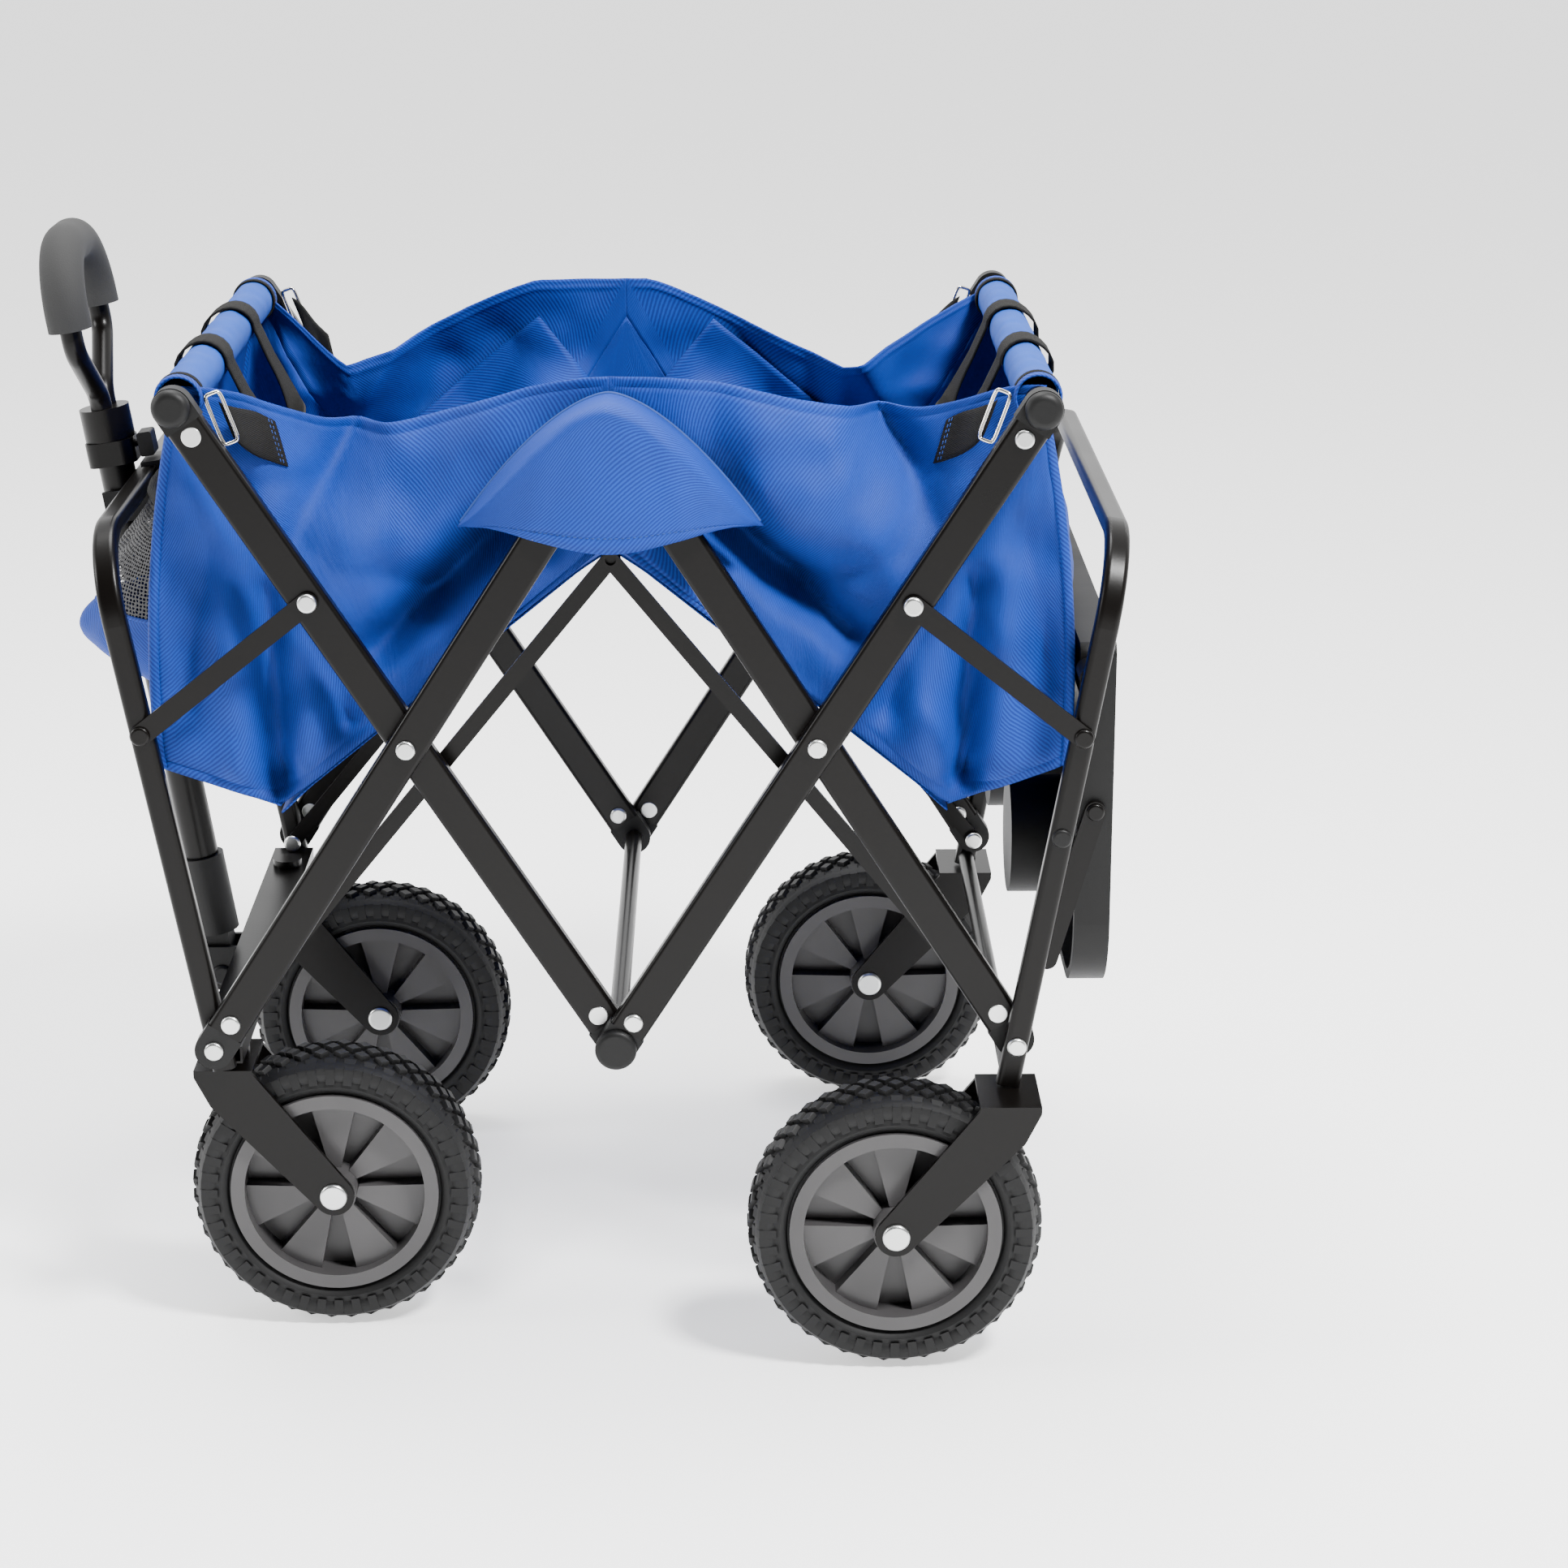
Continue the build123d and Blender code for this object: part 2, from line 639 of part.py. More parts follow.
def caster_fork(side):
    """The swivelling front fork with its bearing, kingpin and nut."""
    y = side * FRONT_TRACK
    body = fork(FRONT, side)
    body += upright(y, CROWN_TOP, CROSS_BOTTOM - 0.1, 14)
    body += upright(y, CROWN_TOP, CROSS_TOP + 1, KINGPIN_R)
    body += upright(y, CROSS_TOP + 0.1, CROSS_TOP + 6, 11)
    return body


def upright(y, low, high, radius):
    return Pos(-KINGPIN_X, y, (low + high) / 2) * Cylinder(radius, high - low)


def rear_tie():
    """The cross tube between the rear feet."""
    x = leg_point(REAR, REAR_TIE_Z / cos(radians(LEG_TILT)))[0]
    ring = disc((x, REAR_TIE_Z), REAR_TIE_R) - disc((x, REAR_TIE_Z), REAR_TIE_R - BAR_WALL)
    return across(ring, LAYER_OUTER[0])


def table_hinge():
    """Hinge pins on the rear legs' inner faces, with the washers beside the table."""
    pieces = []
    for side in SIDES:
        body = pin(TABLE_HINGE, side, (190, LAYER_OUTER[0]), 4)
        body += pin(TABLE_HINGE, side, (TABLE_HALF + 0.4, LAYER_OUTER[0]), 7.5)
        pieces.append(body)
        pieces.append(dome(leg_point(REAR, 149), side, LAYER_OUTER[1]))
    return pieces


def table_outline(margin):
    width = 2 * (TABLE_HALF - margin)
    height = TABLE_HIGH - TABLE_LOW - 2 * margin
    sheet = Pos(0, (TABLE_HIGH + TABLE_LOW) / 2) * Rectangle(width, height)
    lower = sheet.vertices().group_by(Axis.Y)[0]
    upper = sheet.vertices().group_by(Axis.Y)[-1]
    return fillet(lower, 55 - margin) if margin else fillet(upper, 8) & fillet(lower, 55)


def table_slab(sketch, low, high):
    plane = Plane(origin=(low, 0, 0), x_dir=(0, 1, 0), z_dir=(1, 0, 0))
    return extrude(plane * sketch, high - low)


def table_panel():
    """The hanging table: a moulded tray, open underneath, with two cup holes."""
    panel = table_slab(table_outline(0), TABLE_BACK, TABLE_TOP)
    hollow = table_slab(table_outline(TABLE_WALL), TABLE_BACK - 1, TABLE_TOP - TABLE_SHEET)
    boss = table_slab(Pos(0, TABLE_HINGE[1]) * Rectangle(2 * TABLE_HALF, 36), TABLE_BACK, TABLE_TOP)
    panel -= hollow - boss
    for side in SIDES:
        cup = Pos(side * CUP_Y, CUP_Z) * Circle(CUP_R + CUP_WALL + 0.05)
        panel -= table_slab(cup, TABLE_BACK - 1, TABLE_TOP + 1)
        panel -= pin(TABLE_HINGE, side, (180, TABLE_HALF + 1), 4.05)
    return panel


def cup_holders():
    """Cups that hang under the table's holes, each with a flange on the table's top."""
    cups = []
    for side in SIDES:
        place = Pos(side * CUP_Y, CUP_Z)
        outer = place * Circle(CUP_R + CUP_WALL)
        cup = table_slab(outer, CUP_END, TABLE_TOP)
        cup += table_slab(place * Circle(CUP_R + CUP_WALL + 5), TABLE_TOP, TABLE_TOP + 2)
        cup -= table_slab(place * Circle(CUP_R), CUP_END + 3, TABLE_TOP + 3)
        cups.append(cup)
    return cups


def table_strut():
    """The pair of flat struts beside the table, joined by a rod under it."""
    layer = (TABLE_HALF + 0.6, TABLE_HALF + 4.6)
    pieces = []
    for side in SIDES:
        bar = slab(strip(STRUT_TOP, STRUT_LOW, LINK_WIDTH), side, layer)
        pieces.append(bar + dome(STRUT_TOP, side, layer[1], 6, 2.4))
    return pieces


def end_cloth(end):
    """The bag's end panel and the first fold of its floor, hanging from the rim sleeve."""
    top = between(CORNER, BAG_LOW, SLEEVE_R + 2.4)
    line = [mirrored(end, p) for p in (top, BAG_LOW, BAG_FOLD)]
    return across(ribbon(line, CLOTH), BAG_HALF - 3)


def floor_board(end):
    line = [mirrored(end, between(BAG_FOLD, BAG_RIDGE, d)) for d in (5, 184)]
    return across(ribbon(line, CLOTH), BAG_HALF - 3)


def floor_ridge(end):
    """The upper part of the floor, lying on the board and reaching to the middle."""
    lift = CLOTH + 0.8
    start = between(BAG_FOLD, BAG_RIDGE, 95)
    finish = between(BAG_FOLD, BAG_RIDGE, 266)
    line = [mirrored(end, (p[0], p[1] + lift / 0.8)) for p in (start, finish)]
    return across(ribbon(line, CLOTH), BAG_HALF - 3)


def side_cloth(side):
    """One side of the bag: a sagging rim on top and the folded floor's line below."""
    half_top = [(0, 443), (62, 424), (120, 404), (175, 398), (222, 404), (262, 422)]
    half_low = [(288, 400), BAG_LOW, BAG_FOLD, BAG_RIDGE]
    right = half_top + half_low
    left = [(-x, z) for x, z in reversed(right[1:-1])]
    return slab(make_face(Polyline(*right, *left, close=True)), side, SIDE_PANEL)


def scissor_nodes(end):
    name = END_NAME[end]
    return {
        name + "_long_bars": long_bars(end),
        name + "_long_bar_ends": long_bar_ends(end),
        name + "_long_bar_rivets": long_bar_rivets(end),
        name + "_rim_bar": rim_bar(end),
        name + "_rim_sleeve": rim_sleeve(end),
        name + "_short_bars": short_bars(end),
        name + "_short_bar_ends": short_bar_ends(end),
        name + "_short_bar_rivets": short_bar_rivets(end),
        name + "_leg_frame": leg_frame(end),
        name + "_links": links(end),
        name + "_floor_bars": floor_bars(end),
        name + "_end_cloth": end_cloth(end),
        name + "_floor_board": floor_board(end),
        name + "_floor_ridge": floor_ridge(end),
    }


def wheel_nodes(side):
    nodes = {}
    for end in (FRONT, REAR):
        where = END_NAME[end] + "_"
        nodes[where + "tyre_" + SIDE_NAME[side]] = tyre(end, side)
        nodes[where + "wheel_rim_" + SIDE_NAME[side]] = wheel_rim(end, side)
    nodes["caster_fork_" + SIDE_NAME[side]] = caster_fork(side)
    nodes["caster_axle_" + SIDE_NAME[side]] = axle(FRONT, side)
    nodes["side_cloth_" + SIDE_NAME[side]] = side_cloth(side)
    return nodes


def all_nodes():
    nodes = {"centre_tube": centre_tube(), "bottom_hubs": bottom_hubs(), "top_hubs": top_hubs()}
    nodes.update(scissor_nodes(FRONT))
    nodes.update(scissor_nodes(REAR))
    for side in SIDES:
        nodes.update(wheel_nodes(side))
    nodes["rear_axles"] = [axle(REAR, side) for side in SIDES]
    nodes["front_cross_member"] = front_cross_member()
    nodes["rear_forks"] = [fork(REAR, side) for side in SIDES] + [rear_tie()]
    nodes["handle_clevis"] = handle_clevis()
    nodes["handle_clip"] = handle_clip()
    nodes["handle_knuckle"] = handle_knuckle()
    nodes["handle_lower_tube"] = [handle_lower_tube(), handle_socket()]
    nodes["handle_release_tab"] = handle_release_tab()
    nodes["handle_upper_tube"] = [handle_upper_tube(), handle_collar()]
    nodes["handle_loop"] = handle_loop()
    nodes["handle_grip"] = handle_grip()
    nodes["table_hinge"] = table_hinge()
    nodes["table_panel"] = table_panel()
    nodes["cup_holders"] = cup_holders()
    nodes["table_strut"] = table_strut()
    return nodes


os.makedirs("parts", exist_ok=True)
for node_name, shape in all_nodes().items():
    solid = Compound(children=shape) if isinstance(shape, list) else shape
    export_step(Pos(SHIFT_X, 0, PIVOT_HEIGHT) * solid, "parts/" + node_name + ".step")
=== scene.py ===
import math

import bmesh
import bpy
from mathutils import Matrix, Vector, noise


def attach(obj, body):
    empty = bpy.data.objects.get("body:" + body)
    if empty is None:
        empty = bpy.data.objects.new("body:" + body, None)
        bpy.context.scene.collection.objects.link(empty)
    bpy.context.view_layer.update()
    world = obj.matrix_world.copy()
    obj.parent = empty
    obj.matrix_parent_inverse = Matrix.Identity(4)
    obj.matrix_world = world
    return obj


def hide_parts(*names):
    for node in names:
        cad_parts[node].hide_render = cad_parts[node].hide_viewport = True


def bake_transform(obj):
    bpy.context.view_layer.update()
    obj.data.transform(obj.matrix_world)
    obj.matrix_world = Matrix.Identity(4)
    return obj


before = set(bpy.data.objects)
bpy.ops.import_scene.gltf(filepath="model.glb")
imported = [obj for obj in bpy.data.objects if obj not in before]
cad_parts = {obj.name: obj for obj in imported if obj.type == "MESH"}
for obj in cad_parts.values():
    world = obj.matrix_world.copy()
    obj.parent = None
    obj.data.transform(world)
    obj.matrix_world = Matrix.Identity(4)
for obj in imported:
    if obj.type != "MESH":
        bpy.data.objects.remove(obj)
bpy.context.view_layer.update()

# The part is drawn about the bottom centre pivot, in millimetres; these take it to the row frame.
MM = 0.001
PIVOT_X = 27.04
PIVOT_Z = 223.0

SIDES = {"left": -1, "right": 1}
ENDS = {"front": -1, "rear": 1}

CORNER = Vector((277.1, 431.7))       # rim bar, seen from the side
CROSSING = Vector((134.0, 208.7))     # where the long and the short bar cross
TOP = Vector((0.0, 417.4))            # top centre pivot
LOW_CORNER = Vector((299.0, 184.0))   # foot of the bag's end panel
LOW_FOLD = Vector((222.0, 157.0))     # where the floor turns up towards the middle
RIDGE = Vector((0.0, 337.0))          # the floor's ridge under the top centre
PANEL_Y = 198.5                       # plane of the side panels
END_HALF = 196.0
SLEEVE_R = 13.6
WHEELS = {"front": (-197.0, 172.0), "rear": (187.0, 245.0)}
AXLE_Z = -123.0


def row(x, y, z):
    return Vector(((x + PIVOT_X) * MM, y * MM, (z + PIVOT_Z) * MM))


def side_view(co):
    """A row-frame point's x and z about the pivot, in millimetres."""
    return Vector((co.x / MM - PIVOT_X, co.z / MM - PIVOT_Z))


def turned(direction, angle):
    """A side-view direction turned by an angle, as a unit vector."""
    c, s = math.cos(angle), math.sin(angle)
    away = Vector((c * direction.x - s * direction.y, s * direction.x + c * direction.y))
    return away.normalized()


def smooth(t):
    t = max(0.0, min(1.0, t))
    return t * t * (3 - 2 * t)


def mix(a, b, t):
    return a + (b - a) * t


# ---------------------------------------------------------------- materials

def new_material(name, colour, roughness, **constants):
    """A Principled material with its constants set on the shader's own sockets."""
    material = bpy.data.materials.new(name)
    material.use_nodes = True
    shader = material.node_tree.nodes["Principled BSDF"]
    shader.inputs["Base Color"].default_value = (*colour, 1)
    shader.inputs["Roughness"].default_value = roughness
    for socket, value in constants.items():
        shader.inputs[socket.replace("_", " ")].default_value = value
    return material


def add(material, kind, **values):
    node = material.node_tree.nodes.new("ShaderNode" + kind)
    for key, value in values.items():
        if key in node.inputs:
            node.inputs[key].default_value = value
        else:
            setattr(node, key, value)
    return node


def join(material, source, output, target, socket):
    material.node_tree.links.new(source.outputs[output], target.inputs[socket])


def coordinates(material, space, scale=(1, 1, 1), turn=0.0):
    place = add(material, "TexCoord")
    mapping = add(material, "Mapping")
    mapping.inputs["Scale"].default_value = scale
    mapping.inputs["Rotation"].default_value = (0, 0, turn)
    join(material, place, space, mapping, "Vector")
    return mapping


def ramp(material, source, output, stops):
    node = add(material, "ValToRGB")
    elements = node.color_ramp.elements
    for element, (position, colour) in zip(elements, stops):
        element.position = position
        element.color = (*colour, 1)
    join(material, source, output, node, "Fac")
    return node


def noise_map(material, mapping, scale, detail=3.0):
    node = add(material, "TexNoise", Scale=scale, Detail=detail)
    join(material, mapping, "Vector", node, "Vector")
    return node


def vary_roughness(material, source, low, high):
    spread = add(material, "MapRange")
    spread.inputs["To Min"].default_value = low
    spread.inputs["To Max"].default_value = high
    join(material, source, 0, spread, "Value")
    shader = material.node_tree.nodes["Principled BSDF"]
    join(material, spread, 0, shader, "Roughness")


def bump(material, layers):
    """Stacks bump layers of (node, output, strength, distance in metres)."""
    shader = material.node_tree.nodes["Principled BSDF"]
    last = None
    for node, output, strength, distance in layers:
        layer = add(material, "Bump", Strength=strength, Distance=distance)
        join(material, node, output, layer, "Height")
        if last:
            join(material, last, "Normal", layer, "Normal")
        last = layer
    join(material, last, "Normal", shader, "Normal")


def blend_colours(material, base, extra, output, factor, mode):
    node = add(material, "MixRGB", blend_type=mode)
    node.inputs["Fac"].default_value = factor
    join(material, base, "Color", node, "Color1")
    join(material, extra, output, node, "Color2")
    return node


def fabric(name, dark, light, rib=0.0024):
    """Twill polyester: fine diagonal ribs, a speckle of brighter threads and soft blotches."""
    material = new_material(name, light, 0.72, Specular_IOR_Level=0.3)
    cloth = coordinates(material, "UV")
    twill = add(material, "TexWave", bands_direction="DIAGONAL", Distortion=0.6, Detail=1.0)
    twill.inputs["Scale"].default_value = 2 * math.pi / (10 * rib * math.sqrt(2))
    twill.inputs["Detail Scale"].default_value = 2.0
    join(material, cloth, "Vector", twill, "Vector")
    blotch = noise_map(material, cloth, 14.0)
    speckle = noise_map(material, cloth, 900.0, 2.0)
    colour = ramp(material, twill, "Color", [(0.1, dark), (0.95, light)])
    colour = blend_colours(material, colour, speckle, "Color", 0.16, "OVERLAY")
    colour = blend_colours(material, colour, blotch, "Fac", 0.22, "OVERLAY")
    shader = material.node_tree.nodes["Principled BSDF"]
    join(material, colour, "Color", shader, "Base Color")
    vary_roughness(material, blotch, 0.62, 0.82)
    crumple = noise_map(material, cloth, 42.0)
    bump(material, [(twill, "Fac", 0.35, 0.0003), (speckle, "Fac", 0.2, 0.0002),
                    (crumple, "Fac", 0.35, 0.0016)])
    return material


def webbing(name, dark, light):
    """Woven strap: ribs across its width and a fine grain."""
    material = new_material(name, light, 0.85, Specular_IOR_Level=0.2)
    strap = coordinates(material, "UV")
    ribs = add(material, "TexWave", bands_direction="X", Scale=2 * math.pi / (10 * 0.0021))
    ribs.inputs["Distortion"].default_value = 0.4
    join(material, strap, "Vector", ribs, "Vector")
    grain = noise_map(material, strap, 700.0)
    colour = ramp(material, ribs, "Color", [(0.0, dark), (1.0, light)])
    colour = blend_colours(material, colour, grain, "Color", 0.3, "OVERLAY")
    join(material, colour, "Color", material.node_tree.nodes["Principled BSDF"], "Base Color")
    vary_roughness(material, grain, 0.7, 0.9)
    bump(material, [(ribs, "Fac", 0.8, 0.0006), (grain, "Fac", 0.3, 0.0002)])
    return material


def netting(name):
    """Black mesh cloth: round holes between threads."""
    material = new_material(name, (0.012, 0.012, 0.014), 0.6)
    cloth = coordinates(material, "UV")
    holes = add(material, "TexVoronoi", Scale=330.0, Randomness=0.25)
    join(material, cloth, "Vector", holes, "Vector")
    cut = add(material, "MapRange")
    cut.inputs["From Min"].default_value = 0.32
    cut.inputs["From Max"].default_value = 0.4
    join(material, holes, "Distance", cut, "Value")
    shader = material.node_tree.nodes["Principled BSDF"]
    join(material, cut, 0, shader, "Alpha")
    grain = noise_map(material, cloth, 500.0)
    vary_roughness(material, grain, 0.45, 0.75)
    bump(material, [(holes, "Distance", 0.5, 0.0005)])
    return material


def coated(name, colour, low, high, grain_scale, grain_depth, **constants):
    """Painted metal or moulded plastic: an even coat with slight grain and uneven gloss."""
    material = new_material(name, colour, low, **constants)
    place = coordinates(material, "Object")
    patch = noise_map(material, place, 11.0)
    grain = noise_map(material, place, grain_scale, 2.0)
    vary_roughness(material, patch, low, high)
    shade = [tuple(c * 0.82 for c in colour), tuple(min(1.0, c * 1.18) for c in colour)]
    tint = ramp(material, patch, "Fac", [(0.3, shade[0]), (0.7, shade[1])])
    join(material, tint, "Color", material.node_tree.nodes["Principled BSDF"], "Base Color")
    bump(material, [(grain, "Fac", 0.25, grain_depth)])
    return material


BLUE = fabric("blue_cloth_twill", (0.0003, 0.017, 0.17), (0.0015, 0.046, 0.33))
SLEEVE = fabric("blue_sleeve_twill", (0.001, 0.035, 0.24), (0.005, 0.075, 0.4), rib=0.0016)
BINDING = webbing("black_binding", (0.0015, 0.0015, 0.0015), (0.008, 0.0075, 0.007))
STRAP = webbing("black_webbing", (0.0015, 0.0015, 0.0015), (0.011, 0.010, 0.009))
NET = netting("black_netting")
THREAD = coated("blue_thread", (0.004, 0.035, 0.2), 0.6, 0.8, 900, 0.0001)
FRAME = coated("black_satin_coat", (0.0022, 0.0017, 0.0014), 0.24, 0.36, 520, 0.0001,
               Specular_IOR_Level=0.17)
PLASTIC = coated("black_moulding", (0.003, 0.003, 0.003), 0.42, 0.6, 700, 0.0002,
                 Specular_IOR_Level=0.25)
STEEL = coated("zinc_rivet", (0.62, 0.63, 0.62), 0.24, 0.4, 300, 0.0001, Metallic=1.0)
CHROME = coated("bright_wire", (0.72, 0.7, 0.66), 0.12, 0.24, 300, 0.0001, Metallic=1.0)
RUBBER = coated("black_rubber", (0.0045, 0.0045, 0.0047), 0.5, 0.7, 420, 0.0003,
                Specular_IOR_Level=0.28)
GREY = coated("grey_wheel_moulding", (0.052, 0.05, 0.051), 0.26, 0.38, 600, 0.0001,
              Specular_IOR_Level=0.35)
FOAM = coated("grey_foam", (0.017, 0.017, 0.017), 0.75, 0.92, 950, 0.0006)

FINISHES = {
    "bars": FRAME, "leg_frame": FRAME, "links": FRAME, "centre_tube": FRAME,
    "cross_member": FRAME, "forks": FRAME, "lower_tube": FRAME, "upper_tube": FRAME,
    "loop": FRAME, "rim_bar": FRAME, "table_strut": FRAME, "axles": STEEL,
    "rivets": STEEL, "caster_axle_left": STEEL, "caster_axle_right": STEEL,
    "grip": FOAM, "wheel_rim_left": GREY, "wheel_rim_right": GREY,
    "caster_fork_left": FRAME, "caster_fork_right": FRAME,
}


def finish_frame():
    """Gives every CAD node that stays in view its detailed material."""
    for name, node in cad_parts.items():
        found = [finish for ending, finish in FINISHES.items() if name.endswith(ending)]
        for place in node.material_slots:
            place.link = "OBJECT"
            place.material = found[0] if found else PLASTIC


# ---------------------------------------------------------------- mesh tools

def surface(name, rows, material, closed=False, thickness=0.0):
    """A smooth sheet through rows of row-frame points, with its UVs in metres."""
    wide = len(rows[0])
    across = [0.0]
    middle = rows[len(rows) // 2]
    for a, b in zip(middle, middle[1:]):
        across.append(across[-1] + (b - a).length)
    along = [0.0]
    for a, b in zip(rows, rows[1:]):
        along.append(along[-1] + max((q - p).length for p, q in zip(a, b)))
    mesh = bpy.data.meshes.new(name)
    faces, spots = [], []
    for j in range(len(rows) - 1):
        for i in range(wide if closed else wide - 1):
            k = (i + 1) % wide
            faces.append((j * wide + i, j * wide + k, (j + 1) * wide + k, (j + 1) * wide + i))
            u = across[k] if k else across[-1] + (middle[-1] - middle[0]).length
            spots += [(across[i], along[j]), (u, along[j]), (u, along[j + 1]),
                      (across[i], along[j + 1])]
    mesh.from_pydata([p for line in rows for p in line], [], faces)
    layer = mesh.uv_layers.new(name="flat")
    for loop, spot in zip(layer.data, spots):
        loop.uv = spot
    clean = bmesh.new()
    clean.from_mesh(mesh)
    bmesh.ops.remove_doubles(clean, verts=clean.verts, dist=0.00002)
    clean.to_mesh(mesh)
    clean.free()
    for face in mesh.polygons:
        face.use_smooth = True
    piece = bpy.data.objects.new(name, mesh)
    bpy.context.collection.objects.link(piece)
    mesh.materials.append(material)
    if thickness:
        shell = piece.modifiers.new("thickness", "SOLIDIFY")
        shell.thickness = thickness
        shell.offset = 0
    return piece


def tube(name, path, radius, material, sides=12, closed=False):
    """A round tube along row-frame points; radius may be a function of the share along it."""
    rows = []
    normal = None
    count = len(path)
    for k, point in enumerate(path):
        before = path[k - 1] if k or closed else point
        after = path[(k + 1) % count] if k < count - 1 or closed else point
        ahead = (after - before).normalized()
        if normal is None:
            normal = ahead.orthogonal().normalized()
        normal = (normal - ahead * normal.dot(ahead)).normalized()
        other = ahead.cross(normal)
        reach = radius(k / (count - 1)) if callable(radius) else radius
        turns = [2 * math.pi * s / sides for s in range(sides)]
        rows.append([point + (normal * math.cos(a) + other * math.sin(a)) * reach for a in turns])
    if closed:
        rows.append(rows[0])
    return surface(name, rows, material, closed=True)


def stitches(name, path, material, length=0.0024, gap=0.0014, radius=0.00045):
    """A row of short thread stitches along row-frame points."""
    shape = bmesh.new()
    run = 0.0
    start = None
    for a, b in zip(path, path[1:]):
        step = (b - a).length
        if step < 1e-7:
            continue
        pieces = max(1, int(step / 0.0004))
        for n in range(pieces):
            point = a.lerp(b, n / pieces)
            inside = run % (length + gap) < length
            if inside and start is None:
                start = point.copy()
            if not inside and start is not None:
                if (point - start).length > 0.0005:
                    add_stitch(shape, start, point, radius)
                start = None
            run += step / pieces
    mesh = bpy.data.meshes.new(name)
    shape.to_mesh(mesh)
    shape.free()
    for face in mesh.polygons:
        face.use_smooth = True
    mesh.materials.append(material)
    piece = bpy.data.objects.new(name, mesh)
    bpy.context.collection.objects.link(piece)
    return piece


def add_stitch(shape, start, end, radius):
    ahead = (end - start).normalized()
    normal = ahead.orthogonal().normalized()
    other = ahead.cross(normal)
    rings = []
    for share, size in ((0.0, 0.3), (0.2, 1.0), (0.8, 1.0), (1.0, 0.3)):
        centre = start.lerp(end, share)
        ring = []
        for n in range(6):
            a = n * math.pi / 3
            ring.append(shape.verts.new(
                centre + (normal * math.cos(a) + other * math.sin(a)) * radius * size))
        rings.append(ring)
    for near, far in zip(rings, rings[1:]):
        for n in range(6):
            shape.faces.new((near[n], near[(n + 1) % 6], far[(n + 1) % 6], far[n]))
    shape.faces.new(reversed(rings[0]))
    shape.faces.new(rings[-1])


def joined(name, pieces):
    """One object from several, keeping the first one's material and place."""
    shape = bmesh.new()
    for piece in pieces:
        shape.from_mesh(piece.data)
    mesh = bpy.data.meshes.new(name)
    shape.to_mesh(mesh)
    shape.free()
    mesh.materials.append(pieces[0].data.materials[0])
    for piece in pieces:
        bpy.data.objects.remove(piece)
    whole = bpy.data.objects.new(name, mesh)
    bpy.context.collection.objects.link(whole)
    return whole


# ---------------------------------------------------------------- each cloth point's share of the fold

def turned_share(pivot, first, last):
    """Share of the turn about pivot from one direction to another, for any point."""
    def share(co):
        away = side_view(co)
        reach = away - pivot
        if reach.length < 1e-6:
            return 0.5
        return fan_angle(reach, first) / fan_angle(last, first)
    return share


def fan_angle(direction, start):
    a = math.atan2(direction.y, direction.x) - math.atan2(start.y, start.x)
    return (a + math.pi) % (2 * math.pi) - math.pi


def follow(piece, share, most=1.0):
    """Bakes a piece's place into its mesh and works out each point's share of the turn between two
    bodies; the shares are not put to use, so nothing bends.
    """
    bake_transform(piece)
    weights = [max(0.0, min(most, share(v.co))) for v in piece.data.vertices]


def at_end(end, point):
    return Vector((ENDS[end] * point.x, point.y))


def floor_share(end):
    """How far up the floor's slope from its fold to the ridge a point lies."""
    fold = at_end(end, LOW_FOLD)
    run = RIDGE - fold

    def share(co):
        return (side_view(co) - fold).dot(run) / run.length_squared
    return share


def corner_fan(end):
    """Share of the turn about the rim bar, from the line to the pivot towards the end panel's foot,
    for the cloth outside the long bar.
    """
    corner = at_end(end, CORNER)
    return turned_share(corner, -corner, at_end(end, LOW_CORNER) - corner)


def crossing_fan(end):
    """Share of the turn about the crossing, from the rim bar towards the top centre, for the cloth
    over the crossing.
    """
    cross = at_end(end, CROSSING)
    return turned_share(cross, at_end(end, CORNER) - cross, TOP - cross)


# ---------------------------------------------------------------- side panels

# How each half's top edge hangs: how far from the middle it starts to fall, where it is
# lowest, how low, how far inwards, and how round.
HEMS = {("front", "left"): (0, 166, 40, 70, 1.0), ("rear", "left"): (30, 192, 27, 44, 1.0),
        ("front", "right"): (66, 205, 52, 50, 0.3), ("rear", "right"): (17, 161, 56, 52, 0.3)}


def hem(x, side, end):
    """Height of a side panel's top edge, and how far it bows inwards."""
    shoulder, lowest, low, inwards, rounded = HEMS[(end, side)]
    s = min(CORNER.x, abs(x))
    t = (s - shoulder) / (lowest - shoulder) if s < lowest else (CORNER.x - s) / (CORNER.x - lowest)
    dip = mix(max(0.0, t), smooth(t), rounded)
    return 446 - 6 * (s / CORNER.x) ** 2 - low * dip, inwards * dip


def crease(point, start, end, width, depth):
    """Depth of one fold: deepest at its start, running out at its end."""
    run = end - start
    t = max(0.0, min(1.0, (point - start).dot(run) / run.length_squared))
    away = (point - (start + run * t)).length / width
    return depth * (1 - 0.55 * t) * math.exp(-away ** 1.6)


# Folds of one half panel, seen from outside as (start, end, width, depth); minus is a ridge.
FOLDS = [
    (Vector((170, 406)), Vector((208, 336)), 13, 19),
    (Vector((140, 392)), Vector((182, 300)), 24, -11),
    (Vector((60, 350)), Vector((156, 262)), 19, 40),
    (Vector((52, 326)), Vector((150, 242)), 12, -14),
    (Vector((95, 402)), Vector((128, 330)), 32, -12),
    (Vector((222, 166)), Vector((228, 300)), 11, 22),
    (Vector((246, 185)), Vector((254, 300)), 19, -12),
    (Vector((205, 186)), Vector((188, 262)), 15, -12),
    (Vector((254, 396)), Vector((216, 300)), 14, 10),
    (Vector((283, 235)), Vector((262, 340)), 12, 8),
    (Vector((176, 214)), Vector((206, 300)), 11, 11),
    (Vector((110, 300)), Vector((185, 318)), 14, 7),
    (Vector((246, 372)), Vector((196, 372)), 10, 6),
]


FOLD_GAIN = 1.45  # how strongly every fold is pressed


